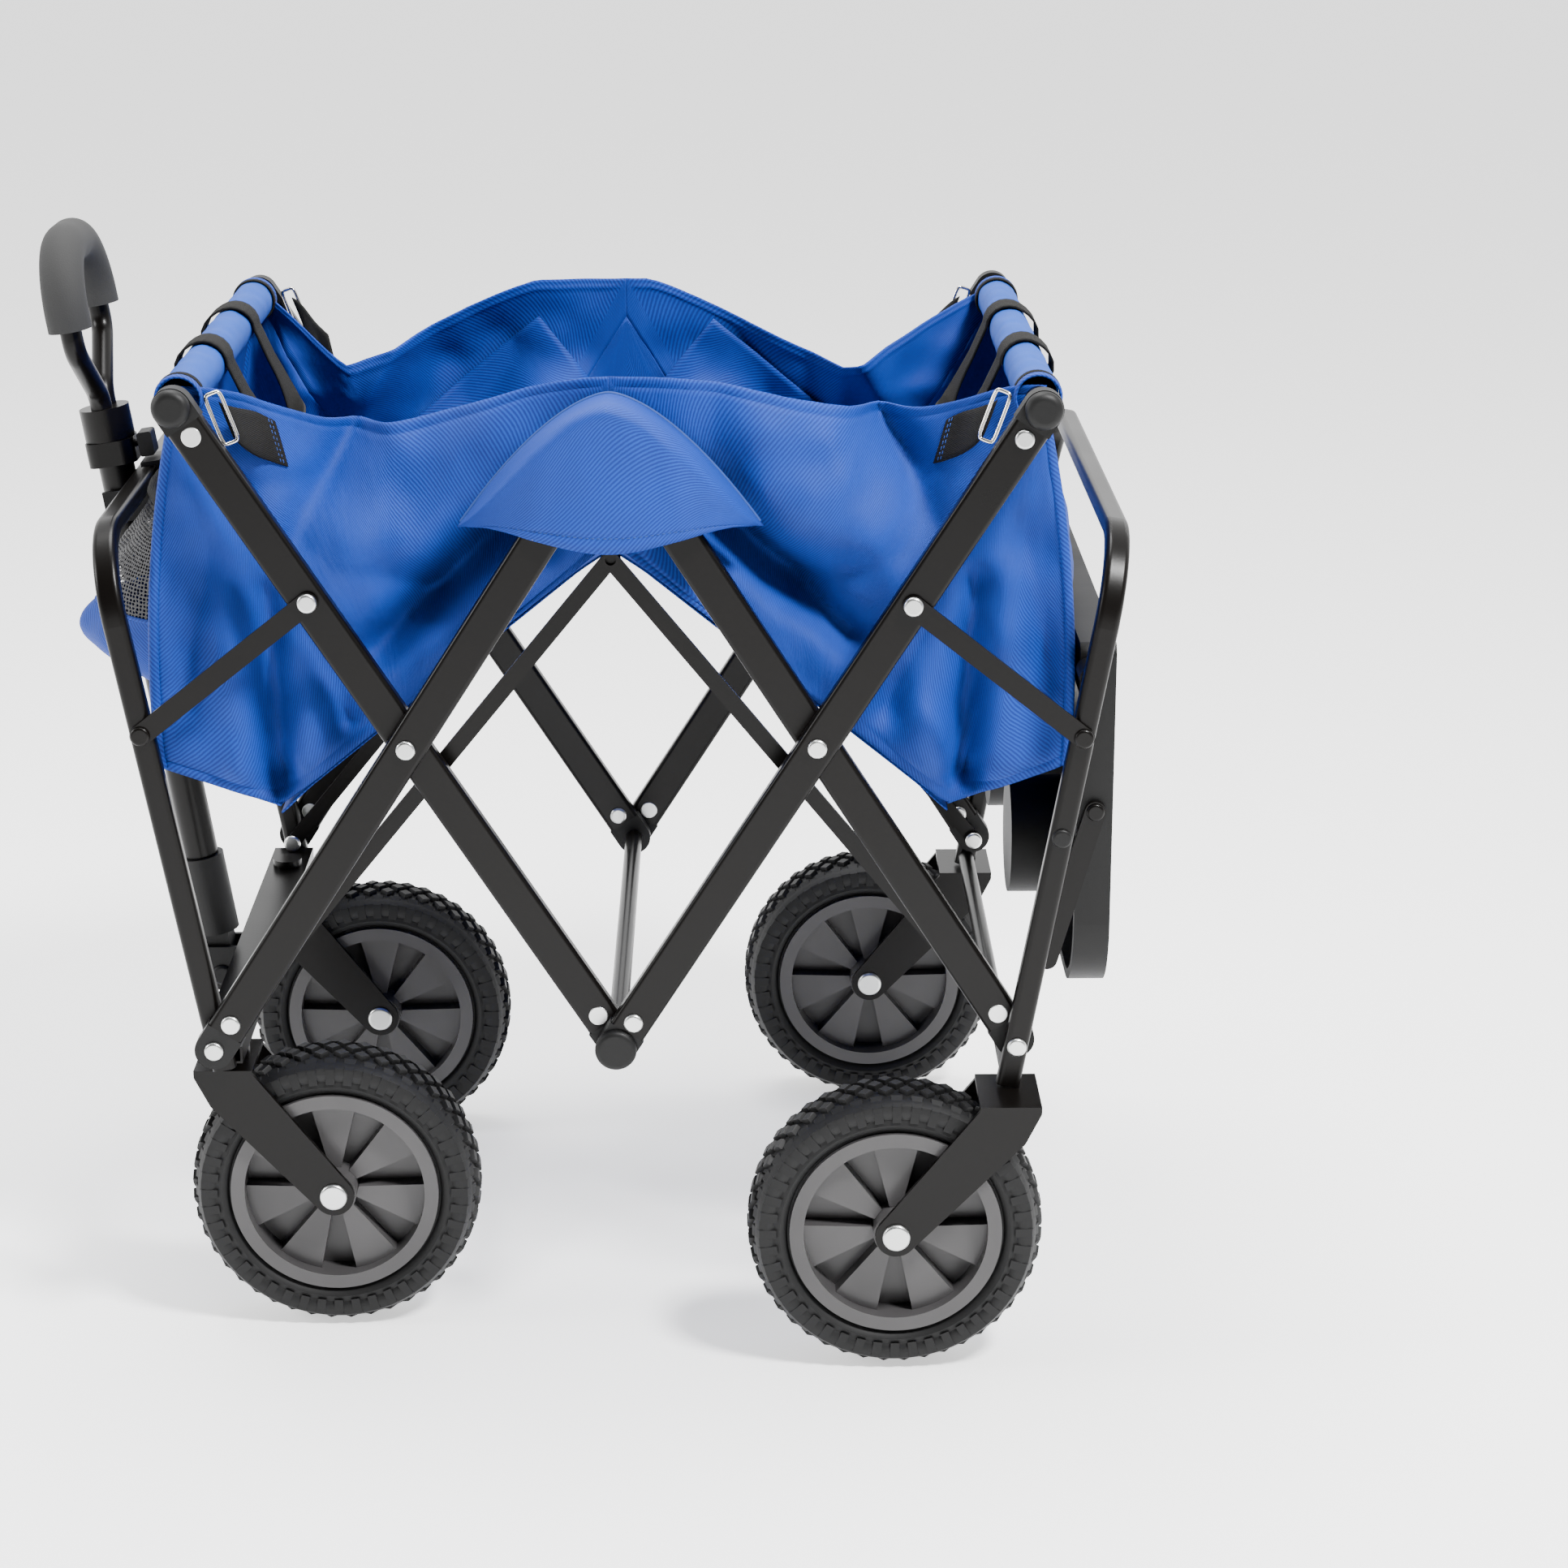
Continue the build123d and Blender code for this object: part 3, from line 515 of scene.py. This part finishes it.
def panel_depth(x, z, side, end):
    """How far inwards of its plane a side panel's cloth lies."""
    point = Vector((abs(x), z))
    top, bow = hem(x, side, end)
    below = max(0.0, top - z)
    bowed = bow * math.exp(-(below / 66) ** 2)
    depth = 0.0
    seed = {"left": 0.0, "right": 40.0}[side] + {"front": 0.0, "rear": 90.0}[end]
    drift = Vector((noise.noise(Vector((seed, 1.5, 0))), noise.noise(Vector((seed, 7.5, 0)))))
    for n, (start, finish, width, amount) in enumerate(FOLDS):
        away = Vector((noise.noise(Vector((seed, n * 3.1, 5))), 0)) * (24 if seed else 0)
        change = 1 + (0.9 * noise.noise(Vector((seed + 3, n * 1.7, 2))) if seed else 0)
        shift = (drift * 16 if seed else Vector((0, 0))) + away
        depth += FOLD_GAIN * crease(point, start + shift, finish + shift, width, amount * change)
    place = Vector((x / 70, z / 70, seed))
    depth += 9 * noise.noise(place) + 4.2 * noise.noise(place * 2.6)
    return max(-13.0, bowed + depth * smooth(abs(x) / 40))


def panel_point(x, z, side, end, sewn=0.0):
    """A point of the side panel; sewn is the share that is pulled flat to a seam."""
    deep = mix(panel_depth(x, z, side, end), 0.0, sewn)
    return row(x, SIDES[side] * (PANEL_Y - deep), z)


def end_bulge(share):
    return 10 * math.sin(math.pi * min(1.0, share)) ** 0.8


def low_edge(direction, start):
    """Distance from start to the panel's lower edge along a direction."""
    nearest = 1e9
    for a, b in ((LOW_CORNER, LOW_FOLD), (LOW_FOLD, RIDGE)):
        run = b - a
        cross = direction.x * run.y - direction.y * run.x
        if abs(cross) < 1e-9:
            continue
        away = ((a - start).x * run.y - (a - start).y * run.x) / cross
        share = ((a - start).x * direction.y - (a - start).y * direction.x) / cross
        if away > 1 and -0.02 <= share <= 1.02:
            nearest = min(nearest, away)
    return nearest


# Distances from the cloth's edge at which the hem has points; its stitched groove is at one.
HEM_STEPS = (12.0, 8.4, 7.0, 5.6, 2.5, 0.0)
HEM_STITCH = 7.0
GROOVE = 1.1


def reaches(near, far, count):
    """Radii from near to far, with close steps at the hem for its stitched groove."""
    inner = far - HEM_STEPS[0]
    plain = [mix(near, inner, n / count) for n in range(count)]
    return [(r, 0.0) for r in plain] + [(far - e, float(e == HEM_STITCH)) for e in HEM_STEPS]


def outer_region(side, end):
    """Between the end panel and the long bar: a fan about the rim bar."""
    first = LOW_CORNER - CORNER
    last = -CORNER
    rows = []
    columns = 26
    for i in range(columns + 1):
        u = i / columns
        ray = turned(first, fan_angle(last, first) * u)
        far = low_edge(ray, CORNER)
        line = []
        for r, groove in reaches(0.0, far, 44):
            spot = CORNER + ray * r
            x = spot.x + end_bulge(r / far) * (1 - u) ** 2
            sewn = max(1 - smooth(u * 9), 0.75 * smooth((r / far - 0.93) / 0.07))
            p = panel_point(ENDS[end] * x, spot.y, side, end, sewn)
            p.y -= SIDES[side] * groove * GROOVE * MM
            line.append(p)
        rows.append(line)
    return rows


def middle_region(side, end):
    """Between the long and the short bar: a fan about their crossing, up to the top hem."""
    first = CORNER - CROSSING
    last = TOP - CROSSING
    peak = fan_angle(Vector((0, hem(0, side, end)[0])) - CROSSING, first)
    whole = fan_angle(last, first)
    turns = [peak * i / 44 for i in range(44)] + [mix(peak, whole, i / 5) for i in range(6)]
    rows = []
    for turn in turns:
        ray = turned(first, turn)
        near = low_edge(ray, CROSSING)
        near = near if near < 200 else 20.0
        hemmed = turn < peak - 0.001
        far = near if hemmed else -CROSSING.x / ray.x
        while hemmed:
            spot = CROSSING + ray * (far + 0.25)
            if spot.y > hem(min(spot.x, CORNER.x), side, end)[0] or spot.x < 0:
                break
            far += 0.25
        line = []
        for r, groove in reaches(near, far, 40):
            spot = CROSSING + ray * r
            sewn = 0.85 * (1 - smooth((r - near) / 16))
            p = panel_point(ENDS[end] * spot.x, spot.y, side, end, sewn)
            p.y -= SIDES[side] * groove * GROOVE * MM * hemmed
            line.append(p)
        rows.append(line)
    return rows


def gusset_region(side):
    """Under the top centre, between the front and the rear short bar: a fan about that pivot."""
    down = CROSSING - TOP
    rows = []
    columns = 24
    for i in range(-columns, columns + 1):
        turn = math.atan2(down.x, -down.y) * i / columns
        ray = Vector((math.sin(abs(turn)), -math.cos(turn)))
        far = low_edge(ray, TOP)
        end = "front" if i < 0 else "rear"
        line = []
        for r, groove in reaches(0.0, far, 14):
            spot = TOP + ray * r
            x = spot.x * (-1 if i < 0 else 1)
            flat = 0.85 * smooth((r / far - 0.85) / 0.15) + 0.6 * (1 - smooth(abs(x) / 40))
            p = panel_point(x, spot.y, side, end, min(1.0, flat))
            p.y -= SIDES[side] * groove * GROOVE * MM
            line.append(p)
        rows.append(line)
    return rows


CLOTH = 0.0011  # thickness in metres


def make_side_panels():
    for side in SIDES:
        for end in ENDS:
            outer = surface(f"side_{end}_{side}_outer", outer_region(side, end), BLUE,
                            thickness=CLOTH)
            follow(outer, corner_fan(end))
            middle = surface(f"side_{end}_{side}_middle", middle_region(side, end), BLUE,
                             thickness=CLOTH)
            follow(middle, crossing_fan(end))
        gusset = surface(f"side_gusset_{side}", gusset_region(side), BLUE, thickness=CLOTH)
        front = -CROSSING.x, CROSSING.y
        fan = turned_share(TOP, Vector(front) - TOP, Vector((0, -1)))
        follow(gusset, fan, most=2.0)
        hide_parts(f"side_cloth_{side}")


# ---------------------------------------------------------------- flaps over the top centre

FLAP_HALF = 97.0


def flap_seam(t):
    """The sewn upper edge of a flap, t from -1 to 1 between its tips."""
    z = 351 + 84.5 * (1 - abs(t) ** 1.6)
    return Vector((FLAP_HALF * t, PANEL_Y + 3.5, z))


def flap_arc(t):
    """The free lower edge of a flap."""
    s = abs(t)
    out = 203.5 + 49.5 * (1 - s ** 2.3) ** 0.8
    z = 341.5 + 11.5 * smooth(s / 0.8) - 2.5 * smooth((s - 0.8) / 0.2)
    return Vector((FLAP_HALF * t, out, z))


def flap_point(t, v, side):
    """From the seam the cloth runs out over the hub, turns down and hangs to the free edge."""
    top, low = flap_seam(t), flap_arc(t)
    over = 1 - abs(t) ** 2.5
    turn_at = mix(0.5, 0.26, over)
    out = smooth(v / (2 * turn_at)) * 2 if v < turn_at else 1.0
    y = mix(top.y, low.y, min(1.0, out))
    late = mix(0.0, 0.235, over)
    drop = (max(0.0, v - late) / (1 - late)) ** mix(1.0, 1.12, over)
    z = mix(top.z, low.z, drop) - (1 - over) * 2 * math.sin(math.pi * v)
    x = mix(top.x, low.x, v) * (1 + 0.02 * math.sin(math.pi * v))
    crest = 1.6 * math.exp(-((abs(t) - 0.32 - 0.2 * v) / 0.1) ** 2) * smooth(v * 3)
    y += (crest + 0.8 * noise.noise(Vector((x / 26, z / 26, side)))) * smooth((1 - abs(t)) * 6)
    return row(x, side * y, z)


def make_flaps():
    for side, sign in SIDES.items():
        rows = []
        depths = [n / 30 for n in range(27)] + [0.89, 0.912, 0.925, 0.938, 0.96, 1.0]
        for v in depths:
            line = [flap_point(n / 36 - 1, v, sign) for n in range(73)]
            for p in line:
                p.y -= sign * (0.9 * MM if v == 0.925 else 0.0)
            rows.append(line)
        flap = surface(f"flap_{side}", rows, BLUE, thickness=CLOTH)
        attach(flap, "top_centre")
        edge = [flap_point(n / 60 - 1, 0.925, sign) for n in range(3, 118)]
        hem_thread = stitches(f"flap_{side}_hem_stitches", edge, THREAD)
        seam_line = [flap_seam(n / 60 - 1) for n in range(121)]
        cord = [row(p.x, sign * (p.y + 0.8), p.z + 0.6) for p in seam_line]
        seam = tube(f"flap_{side}_seam", cord, 0.0013, THREAD, sides=8)
        dart = [flap_point(0.0, n / 30 * 0.3, sign) for n in range(31)]
        dart_thread = stitches(f"flap_{side}_dart", dart, THREAD)
        for piece in (hem_thread, seam, dart_thread):
            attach(piece, "top_centre")


# ---------------------------------------------------------------- end panels, floor, sleeves

def end_profile(share):
    """The end panel's line, rim to floor fold, as distance shares 0 to 1 (1 is the low corner)."""
    spot = CORNER.lerp(LOW_CORNER, share)
    return Vector((spot.x + end_bulge(share), spot.y))


def end_rows(end):
    seed = 11.0 if end == "front" else 23.0
    rows = []
    lines = [(n / 34, 0) for n in range(1, 35)] + [(1.0, n / 12) for n in range(1, 13)]
    for share, under in lines:
        spot = end_profile(share) if not under else LOW_CORNER.lerp(LOW_FOLD, under)
        line = []
        for n in range(57):
            w = n / 28 - 1
            y = END_HALF * w
            belly = 13 * (1 - abs(w) ** 2.4) * math.sin(math.pi * min(1.0, share * 0.96))
            place = Vector((w * 4.2, share * 5 + under, seed))
            ruffle = 3.2 * noise.noise(place) + 1.2 * noise.noise(place * 3.1)
            pull = smooth((1 - abs(w)) * 10) * smooth(share * 8)
            x = spot.x + (belly + ruffle * (1 - under)) * pull * (1 - under)
            z = spot.y + (0.5 * ruffle - 5 * (1 - abs(w) ** 2)) * pull * (under * (1 - under) * 4)
            line.append(row(ENDS[end] * x, y, z))
        rows.append(line)
    return rows


def floor_rows(end):
    rows = []
    for m in range(41):
        share = m / 40
        spot = LOW_FOLD.lerp(RIDGE, share)
        line = []
        for n in range(57):
            w = n / 28 - 1
            place = Vector((w * 3.4, share * 4, 31 + ENDS[end]))
            soft = 1.6 * noise.noise(place) * smooth((1 - abs(w)) * 8)
            board = 2.0 * smooth(math.sin(math.pi * share) * 3)
            x = spot.x + 0.6 * (soft + board)
            line.append(row(ENDS[end] * x, END_HALF * w, spot.y - 5 + 0.8 * (soft + board)))
        rows.append(line)
    return rows


# The lower side strips: height at the floor's fold and at its ridge, and how far they lie
# inside the side panel.
SKIRT_LOW = 26.0
SKIRT_HIGH = 104.0
SKIRT_GAP = 4.5


def skirt_rows(side, end):
    """The lower side of the bag, which stands on the floor's edge behind the side panel."""
    run = (RIDGE - LOW_FOLD).normalized()
    up = Vector((run.y, -run.x))
    length = (RIDGE - LOW_FOLD).length
    rows = []
    for m in range(61):
        share = m / 60
        base = LOW_FOLD + run * length * share
        height = mix(SKIRT_LOW, SKIRT_HIGH, smooth(share / 0.5))
        line = []
        for n in range(25):
            rise = height * n / 24
            spot = base + up * rise
            x = max(0.0, spot.x)
            sewn = 0.85 * (1 - smooth(rise / 16))
            deep = mix(panel_depth(ENDS[end] * x, spot.y, side, end), 0.0, sewn)
            y = PANEL_Y - SKIRT_GAP - deep
            line.append(row(ENDS[end] * spot.x, SIDES[side] * y, spot.y))
        rows.append(line)
    return rows


def make_skirts():
    for end in ENDS:
        for side in SIDES:
            skirt = surface(f"bag_skirt_{end}_{side}", skirt_rows(side, end), BLUE,
                            thickness=CLOTH)
            follow(skirt, floor_share(end))


def make_ends():
    for end, sign in ENDS.items():
        panel = surface(f"end_panel_{end}", end_rows(end), BLUE, thickness=CLOTH)
        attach(panel, f"{end}_bag_end")
        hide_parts(f"{end}_end_cloth")
        for side, way in SIDES.items():
            line = []
            for n in range(49):
                spot = end_profile(0.03 + 0.97 * n / 48)
                line.append(row(sign * (spot.x + 0.5), way * (PANEL_Y - 0.5), spot.y))
            cord = tube(f"piping_{end}_{side}", line, 0.0036, BLUE, sides=12)
            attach(cord, f"{end}_bag_end")
        floor = surface(f"bag_floor_{end}", floor_rows(end), BLUE, thickness=CLOTH)
        follow(floor, floor_share(end))
        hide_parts(f"{end}_floor_board", f"{end}_floor_ridge")


def sleeve_rows(end):
    rows = []
    for m in range(97):
        y = -191 + 382 * m / 96
        line = []
        for n in range(40):
            a = 2 * math.pi * n / 40
            place = Vector((math.cos(a) * 1.4, math.sin(a) * 1.4, y / 17 + ENDS[end]))
            wrinkle = noise.noise(place)
            r = SLEEVE_R + 0.9 * wrinkle
            tail = max(0.0, -math.sin(a)) ** 6 * 3
            line.append(row(ENDS[end] * CORNER.x + r * math.cos(a), y,
                            CORNER.y + r * math.sin(a) - tail))
        rows.append(line)
    return rows


def band(name, y_low, y_high, radius, end, material, puff=0.0):
    """A ring of cloth or tape round the sleeve."""
    rows = []
    for m in range(9):
        share = m / 8
        y = mix(y_low, y_high, share)
        swell = radius + puff * math.sin(math.pi * share)
        line = []
        for n in range(40):
            a = 2 * math.pi * n / 40
            line.append(row(ENDS[end] * CORNER.x + swell * math.cos(a), y,
                            CORNER.y + swell * math.sin(a)))
        rows.append(line)
    return surface(name, rows, material, closed=True, thickness=0.0012)


def ribbon(name, path, width_along, material, thickness=0.0016, width=30.0):
    """A strap: a path of row-frame points and the direction of its width at each."""
    rows = []
    for point, direction in zip(path, width_along):
        half = direction.normalized() * width * MM / 2
        rows.append([point - half, point - half * 0.5, point, point + half * 0.5, point + half])
    return surface(name, rows, material, thickness=thickness)


def loop_path(end, y_first, y_last, drop):
    """A strap that comes over the sleeve, hangs in a U inside the bag and goes back over it."""
    sign = ENDS[end]
    path, widths = [], []
    reach = SLEEVE_R + 2.6

    def over_sleeve(n, y):
        a = math.radians(-70 + 250 * n / 14)
        loose = reach + 5 * max(0.0, math.cos(a + 0.5)) ** 2
        path.append(row(sign * (CORNER.x + loose * math.cos(a)), y,
                        CORNER.y + loose * math.sin(a)))
        widths.append(Vector((0, 1, 0)))

    for n in range(15):
        over_sleeve(n, y_first + 10 * (n / 14 - 0.5))
    count = 26
    for n in range(1, count):
        s = n / count
        y = mix(y_first + 4, y_last - 4, smooth(s))
        hang = math.sin(math.pi * s) ** 0.6
        x = CORNER.x - reach - 34 * hang
        z = CORNER.y - 4 - drop * hang
        path.append(row(sign * x, y, z))
        lean = math.cos(math.pi * s)
        widths.append(Vector((-sign * 0.35 * (1 - abs(lean)), abs(lean), (1 - abs(lean)) * 1.0)))
    for n in reversed(range(15)):
        over_sleeve(n, y_last + 10 * (0.5 - n / 14))
    return path, widths


def make_sleeves():
    for end in ENDS:
        body = f"{end}_long_pair"
        sleeve = surface(f"rim_sleeve_{end}", sleeve_rows(end), SLEEVE, closed=True,
                         thickness=CLOTH)
        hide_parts(f"{end}_rim_sleeve")
        parts = [sleeve]
        for side, way in SIDES.items():
            tape = band(f"sleeve_tape_{end}_{side}", way * 184, way * 191.5, SLEEVE_R + 1.4, end,
                        BINDING, puff=0.5)
            collar = band(f"sleeve_collar_{end}_{side}", way * 191.5, way * 199.5,
                          SLEEVE_R + 0.9, end, BLUE, puff=0.9)
            parts += [tape, collar]
        path, widths = loop_path(end, 70, -62, 62)
        parts.append(ribbon(f"carry_strap_{end}", path, widths, STRAP))
        for part in parts:
            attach(part, body)


# ---------------------------------------------------------------- corner straps and rings

def strap_rows(side, end):
    """The webbing from the corner ring to its stitched patch on the side panel."""
    ring_top, ring_low = Vector((252, 435)), Vector((241, 405))
    patch_top, patch_low = Vector((220, 411)), Vector((212, 381))
    rows = []
    for n in range(19):
        t = n / 18
        line = []
        for m in range(9):
            v = m / 8
            near = mix(ring_top, ring_low, mix(0.12, 0.88, v))
            far = mix(patch_top, patch_low, v)
            spot = mix(near, far, t)
            spot.y -= 4 * math.sin(math.pi * t) * v
            deep = panel_depth(ENDS[end] * spot.x, spot.y, side, end)
            lift = mix(6.0, 1.5, smooth(t)) + 2.2 * math.sin(math.pi * t) * math.sin(math.pi * v)
            rest = mix(2.0, deep, smooth(t * 1.4))
            line.append(row(ENDS[end] * spot.x, SIDES[side] * (PANEL_Y - rest + lift), spot.y))
        rows.append(line)
    return rows


def ring_path(side, end):
    """A rectangular wire ring beside the bar, rounded at its corners."""
    sign = ENDS[end]
    centre = Vector((248.5, 421))
    along = Vector((-0.34, -0.94)).normalized()
    over = Vector((-0.94, 0.34))
    path = []
    for n in range(64):
        a = 2 * math.pi * n / 64
        square = 0.32
        c, s = math.cos(a), math.sin(a)
        u = math.copysign(abs(c) ** square, c) * 17
        v = math.copysign(abs(s) ** square, s) * 5
        spot = centre + along * u + over * v
        path.append(row(sign * spot.x, SIDES[side] * (PANEL_Y + 7 - v * 0.3), spot.y))
    return path


def make_corner_straps():
    for side, way in SIDES.items():
        for end in ENDS:
            rows = strap_rows(side, end)
            strap = surface(f"corner_strap_{end}_{side}", rows, STRAP, thickness=0.0018)
            follow(strap, crossing_fan(end))
            lines = []
            for k, inset in ((0, 2), (1, 3)):
                line = [rows[-inset][m].copy() for m in range(9)]
                for p in line:
                    p.y += way * 0.0012
                lines.append(stitches(f"s{k}", line, THREAD))
            thread = joined(f"corner_strap_{end}_{side}_stitches", lines)
            follow(thread, crossing_fan(end))
            ring = tube(f"corner_ring_{end}_{side}", ring_path(side, end), 0.0013, CHROME,
                        sides=10, closed=True)
            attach(ring, f"{end}_long_pair")


# ---------------------------------------------------------------- front pocket

POCKET_HALF = 158.0


def pocket_point(w, z, bulge):
    """A point of the pouch on the front end panel, which swells on both sides of the handle."""
    share = (CORNER.y - z) / (CORNER.y - LOW_CORNER.y)
    panel = end_profile(share).x + 13 * (1 - abs(w) ** 2.4) * math.sin(math.pi * share)
    y = POCKET_HALF * w
    lobe = (1 - abs(w) ** 5) * (1 - 0.86 * math.exp(-(y / 42) ** 2))
    crumple = 1 + 0.22 * noise.noise(Vector((y / 34, z / 30, 3.0)))
    return row(-(panel + 1.6 + bulge * lobe * crumple), y, z)


def make_pocket():
    net_rows, blue_rows = [], []
    for m in range(25):
        share = m / 24
        z = mix(352, 272, share)
        bulge = mix(12, 46, smooth(share))
        net_rows.append([pocket_point(n / 40 - 1, z, bulge) for n in range(81)])
    for m in range(25):
        share = m / 24
        z = mix(272, 226, share)
        bulge = 46 * math.sqrt(max(0.0, 1 - share ** 3)) + 15 * math.sin(math.pi * share)
        blue_rows.append([pocket_point(n / 40 - 1, z, bulge) for n in range(81)])
    net = surface("pocket_net", net_rows, NET)
    pouch = surface("pocket_pouch", blue_rows, BLUE, thickness=CLOTH)
    rim = tube("pocket_top_tape", [p.copy() for p in net_rows[0]], 0.0032, BINDING, sides=10)
    seam = tube("pocket_seam", [p.copy() for p in net_rows[-1]], 0.0016, BLUE, sides=8)
    for piece, name in ((net, "black_plastic"), (pouch, "blue_cloth"), (rim, "black_plastic"),
                        (seam, "blue_cloth")):
        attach(piece, "front_bag_end")


# ---------------------------------------------------------------- tyres

TREAD_COUNT = 44
# Half of a tyre's cross section, bead to crown, as (radius, distance along the axle).
CARCASS = [(68.2, 19.4), (73, 19.6), (74.5, 22.5), (78, 24.3), (82, 23.4), (84, 24.6),
           (88, 25), (92, 24), (94.4, 20), (95.6, 12), (96, 0)]


def tyre_block(shape, outline, angle, low, high):
    """One rubber block standing on the carcass; outline is (along the tread, across it) in mm."""
    rings = []
    for reach, shrink in ((low, 1.0), (high - 0.8, 0.94), (high, 0.82)):
        ring = []
        for along, over in outline:
            a = angle + along * shrink / 98
            fall = reach - max(0.0, abs(over) - 12) ** 1.6 * 0.09
            ring.append(shape.verts.new(
                Vector((fall * math.sin(a), over * (0.9 + 0.1 * shrink), fall * math.cos(a))) * MM))
        rings.append(ring)
    size = len(outline)
    for near, far in zip(rings, rings[1:]):
        for n in range(size):
            shape.faces.new((near[n], near[(n + 1) % size], far[(n + 1) % size], far[n]))
    shape.faces.new(rings[-1])


def tyre_mesh():
    half = [(r, y) for r, y in CARCASS]
    profile = half + [(r, -y) for r, y in reversed(half[:-1])] + [half[0]]
    rows = []
    for n in range(144):
        a = 2 * math.pi * n / 144
        rows.append([Vector((r * math.sin(a), y, r * math.cos(a))) * MM for r, y in profile])
    rows.append(rows[0])
    base = surface("tyre_carcass", rows, RUBBER)
    shape = bmesh.new()
    shape.from_mesh(base.data)
    bpy.data.objects.remove(base)
    step = 2 * math.pi / TREAD_COUNT
    for n in range(TREAD_COUNT):
        a = n * step
        diamond = [(-5.6, 0), (0, -5.0), (5.6, 0), (0, 5.0)]
        tyre_block(shape, diamond, a, 94, 99.8)
        for side in (-1, 1):
            wedge = [(-5.6, 9.6 * side), (0, 4.6 * side), (5.6, 9.6 * side), (0, 14.4 * side)]
            tyre_block(shape, wedge, a + step / 2, 93, 99.2)
            lug = [(-4.9, 16 * side), (4.9, 16 * side), (3.6, 25.2 * side), (-3.6, 25.2 * side)]
            tyre_block(shape, lug, a, 86, 97.4)
    bmesh.ops.recalc_face_normals(shape, faces=shape.faces)
    mesh = bpy.data.meshes.new("tyre")
    shape.to_mesh(mesh)
    shape.free()
    mesh.materials.append(RUBBER)
    for face in mesh.polygons:
        face.use_smooth = True
    mesh.set_sharp_from_angle(angle=math.radians(38))
    return mesh


def make_tyres():
    mesh = tyre_mesh()
    for end, (x, track) in WHEELS.items():
        for side, way in SIDES.items():
            tyre = bpy.data.objects.new(f"tyre_{end}_{side}", mesh)
            bpy.context.collection.objects.link(tyre)
            tyre.location = row(x, way * track, AXLE_Z)
            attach(tyre, f"{end}_wheel_{side}")
            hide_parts(f"{end}_tyre_{side}")


# ---------------------------------------------------------------- stage

# Area lights that all face the wagon: place, size and power.
LIGHTS = {
    "key": ((1.3, -1.3, 2.6), 0.5, 190),
    "top": ((-0.3, 0.5, 2.9), 1.3, 90),
    "left": ((-2.7, -0.4, 1.5), 1.0, 50),
}
WAGON_MIDDLE = Vector((0.03, 0, 0.35))


def make_stage():
    """White floor, a world that is dim in front and bright behind, and three area lights."""
    world = bpy.data.worlds.new("studio")
    bpy.context.scene.world = world
    world.use_nodes = True
    background = world.node_tree.nodes["Background"]
    background.inputs["Color"].default_value = (1, 1, 1, 1)
    sky = world.node_tree.nodes.new("ShaderNodeTexCoord")
    parts = world.node_tree.nodes.new("ShaderNodeSeparateXYZ")
    spread = world.node_tree.nodes.new("ShaderNodeMapRange")
    spread.inputs["From Min"].default_value = -0.5
    spread.inputs["From Max"].default_value = 0.6
    spread.inputs["To Min"].default_value = 0.06
    spread.inputs["To Max"].default_value = 2.2
    world.node_tree.links.new(sky.outputs["Generated"], parts.inputs[0])
    world.node_tree.links.new(parts.outputs["Y"], spread.inputs["Value"])
    world.node_tree.links.new(spread.outputs[0], background.inputs["Strength"])
    white = new_material("studio_white", (0.92, 0.92, 0.92), 0.9, Emission_Strength=0.9)
    white.node_tree.nodes["Principled BSDF"].inputs["Emission Color"].default_value = (1, 1, 1, 1)
    floor = surface("studio_floor", [[Vector((x, y, 0)) for x in (-30, 30)] for y in (-30, 30)],
                    white)
    for name, (place, size, power) in LIGHTS.items():
        light = bpy.data.lights.new(name, "AREA")
        light.size = size
        light.energy = power
        lamp = bpy.data.objects.new(name, light)
        bpy.context.collection.objects.link(lamp)
        lamp.location = place
        ahead = WAGON_MIDDLE - lamp.location
        lamp.rotation_euler = ahead.to_track_quat("-Z", "Y").to_euler()


CAMERA_PLACE = (0.108, -2.482, 1.097)
CAMERA_DOWN = 17.1   # degrees below the horizon
CAMERA_TURN = -0.8   # degrees away from looking straight at the wagon's left side
CAMERA_LENS = 82.38


def make_camera():
    camera = bpy.data.cameras.new("wagon_view")
    camera.sensor_width = 36
    camera.lens = CAMERA_LENS
    holder = bpy.data.objects.new("wagon_view", camera)
    bpy.context.collection.objects.link(holder)
    holder.location = CAMERA_PLACE
    holder.rotation_euler = (math.radians(90 - CAMERA_DOWN), 0, math.radians(CAMERA_TURN))
    bpy.context.scene.camera = holder


make_camera()
make_stage()
finish_frame()
make_side_panels()
make_flaps()
make_ends()
make_skirts()
make_sleeves()
make_corner_straps()
make_pocket()
make_tyres()
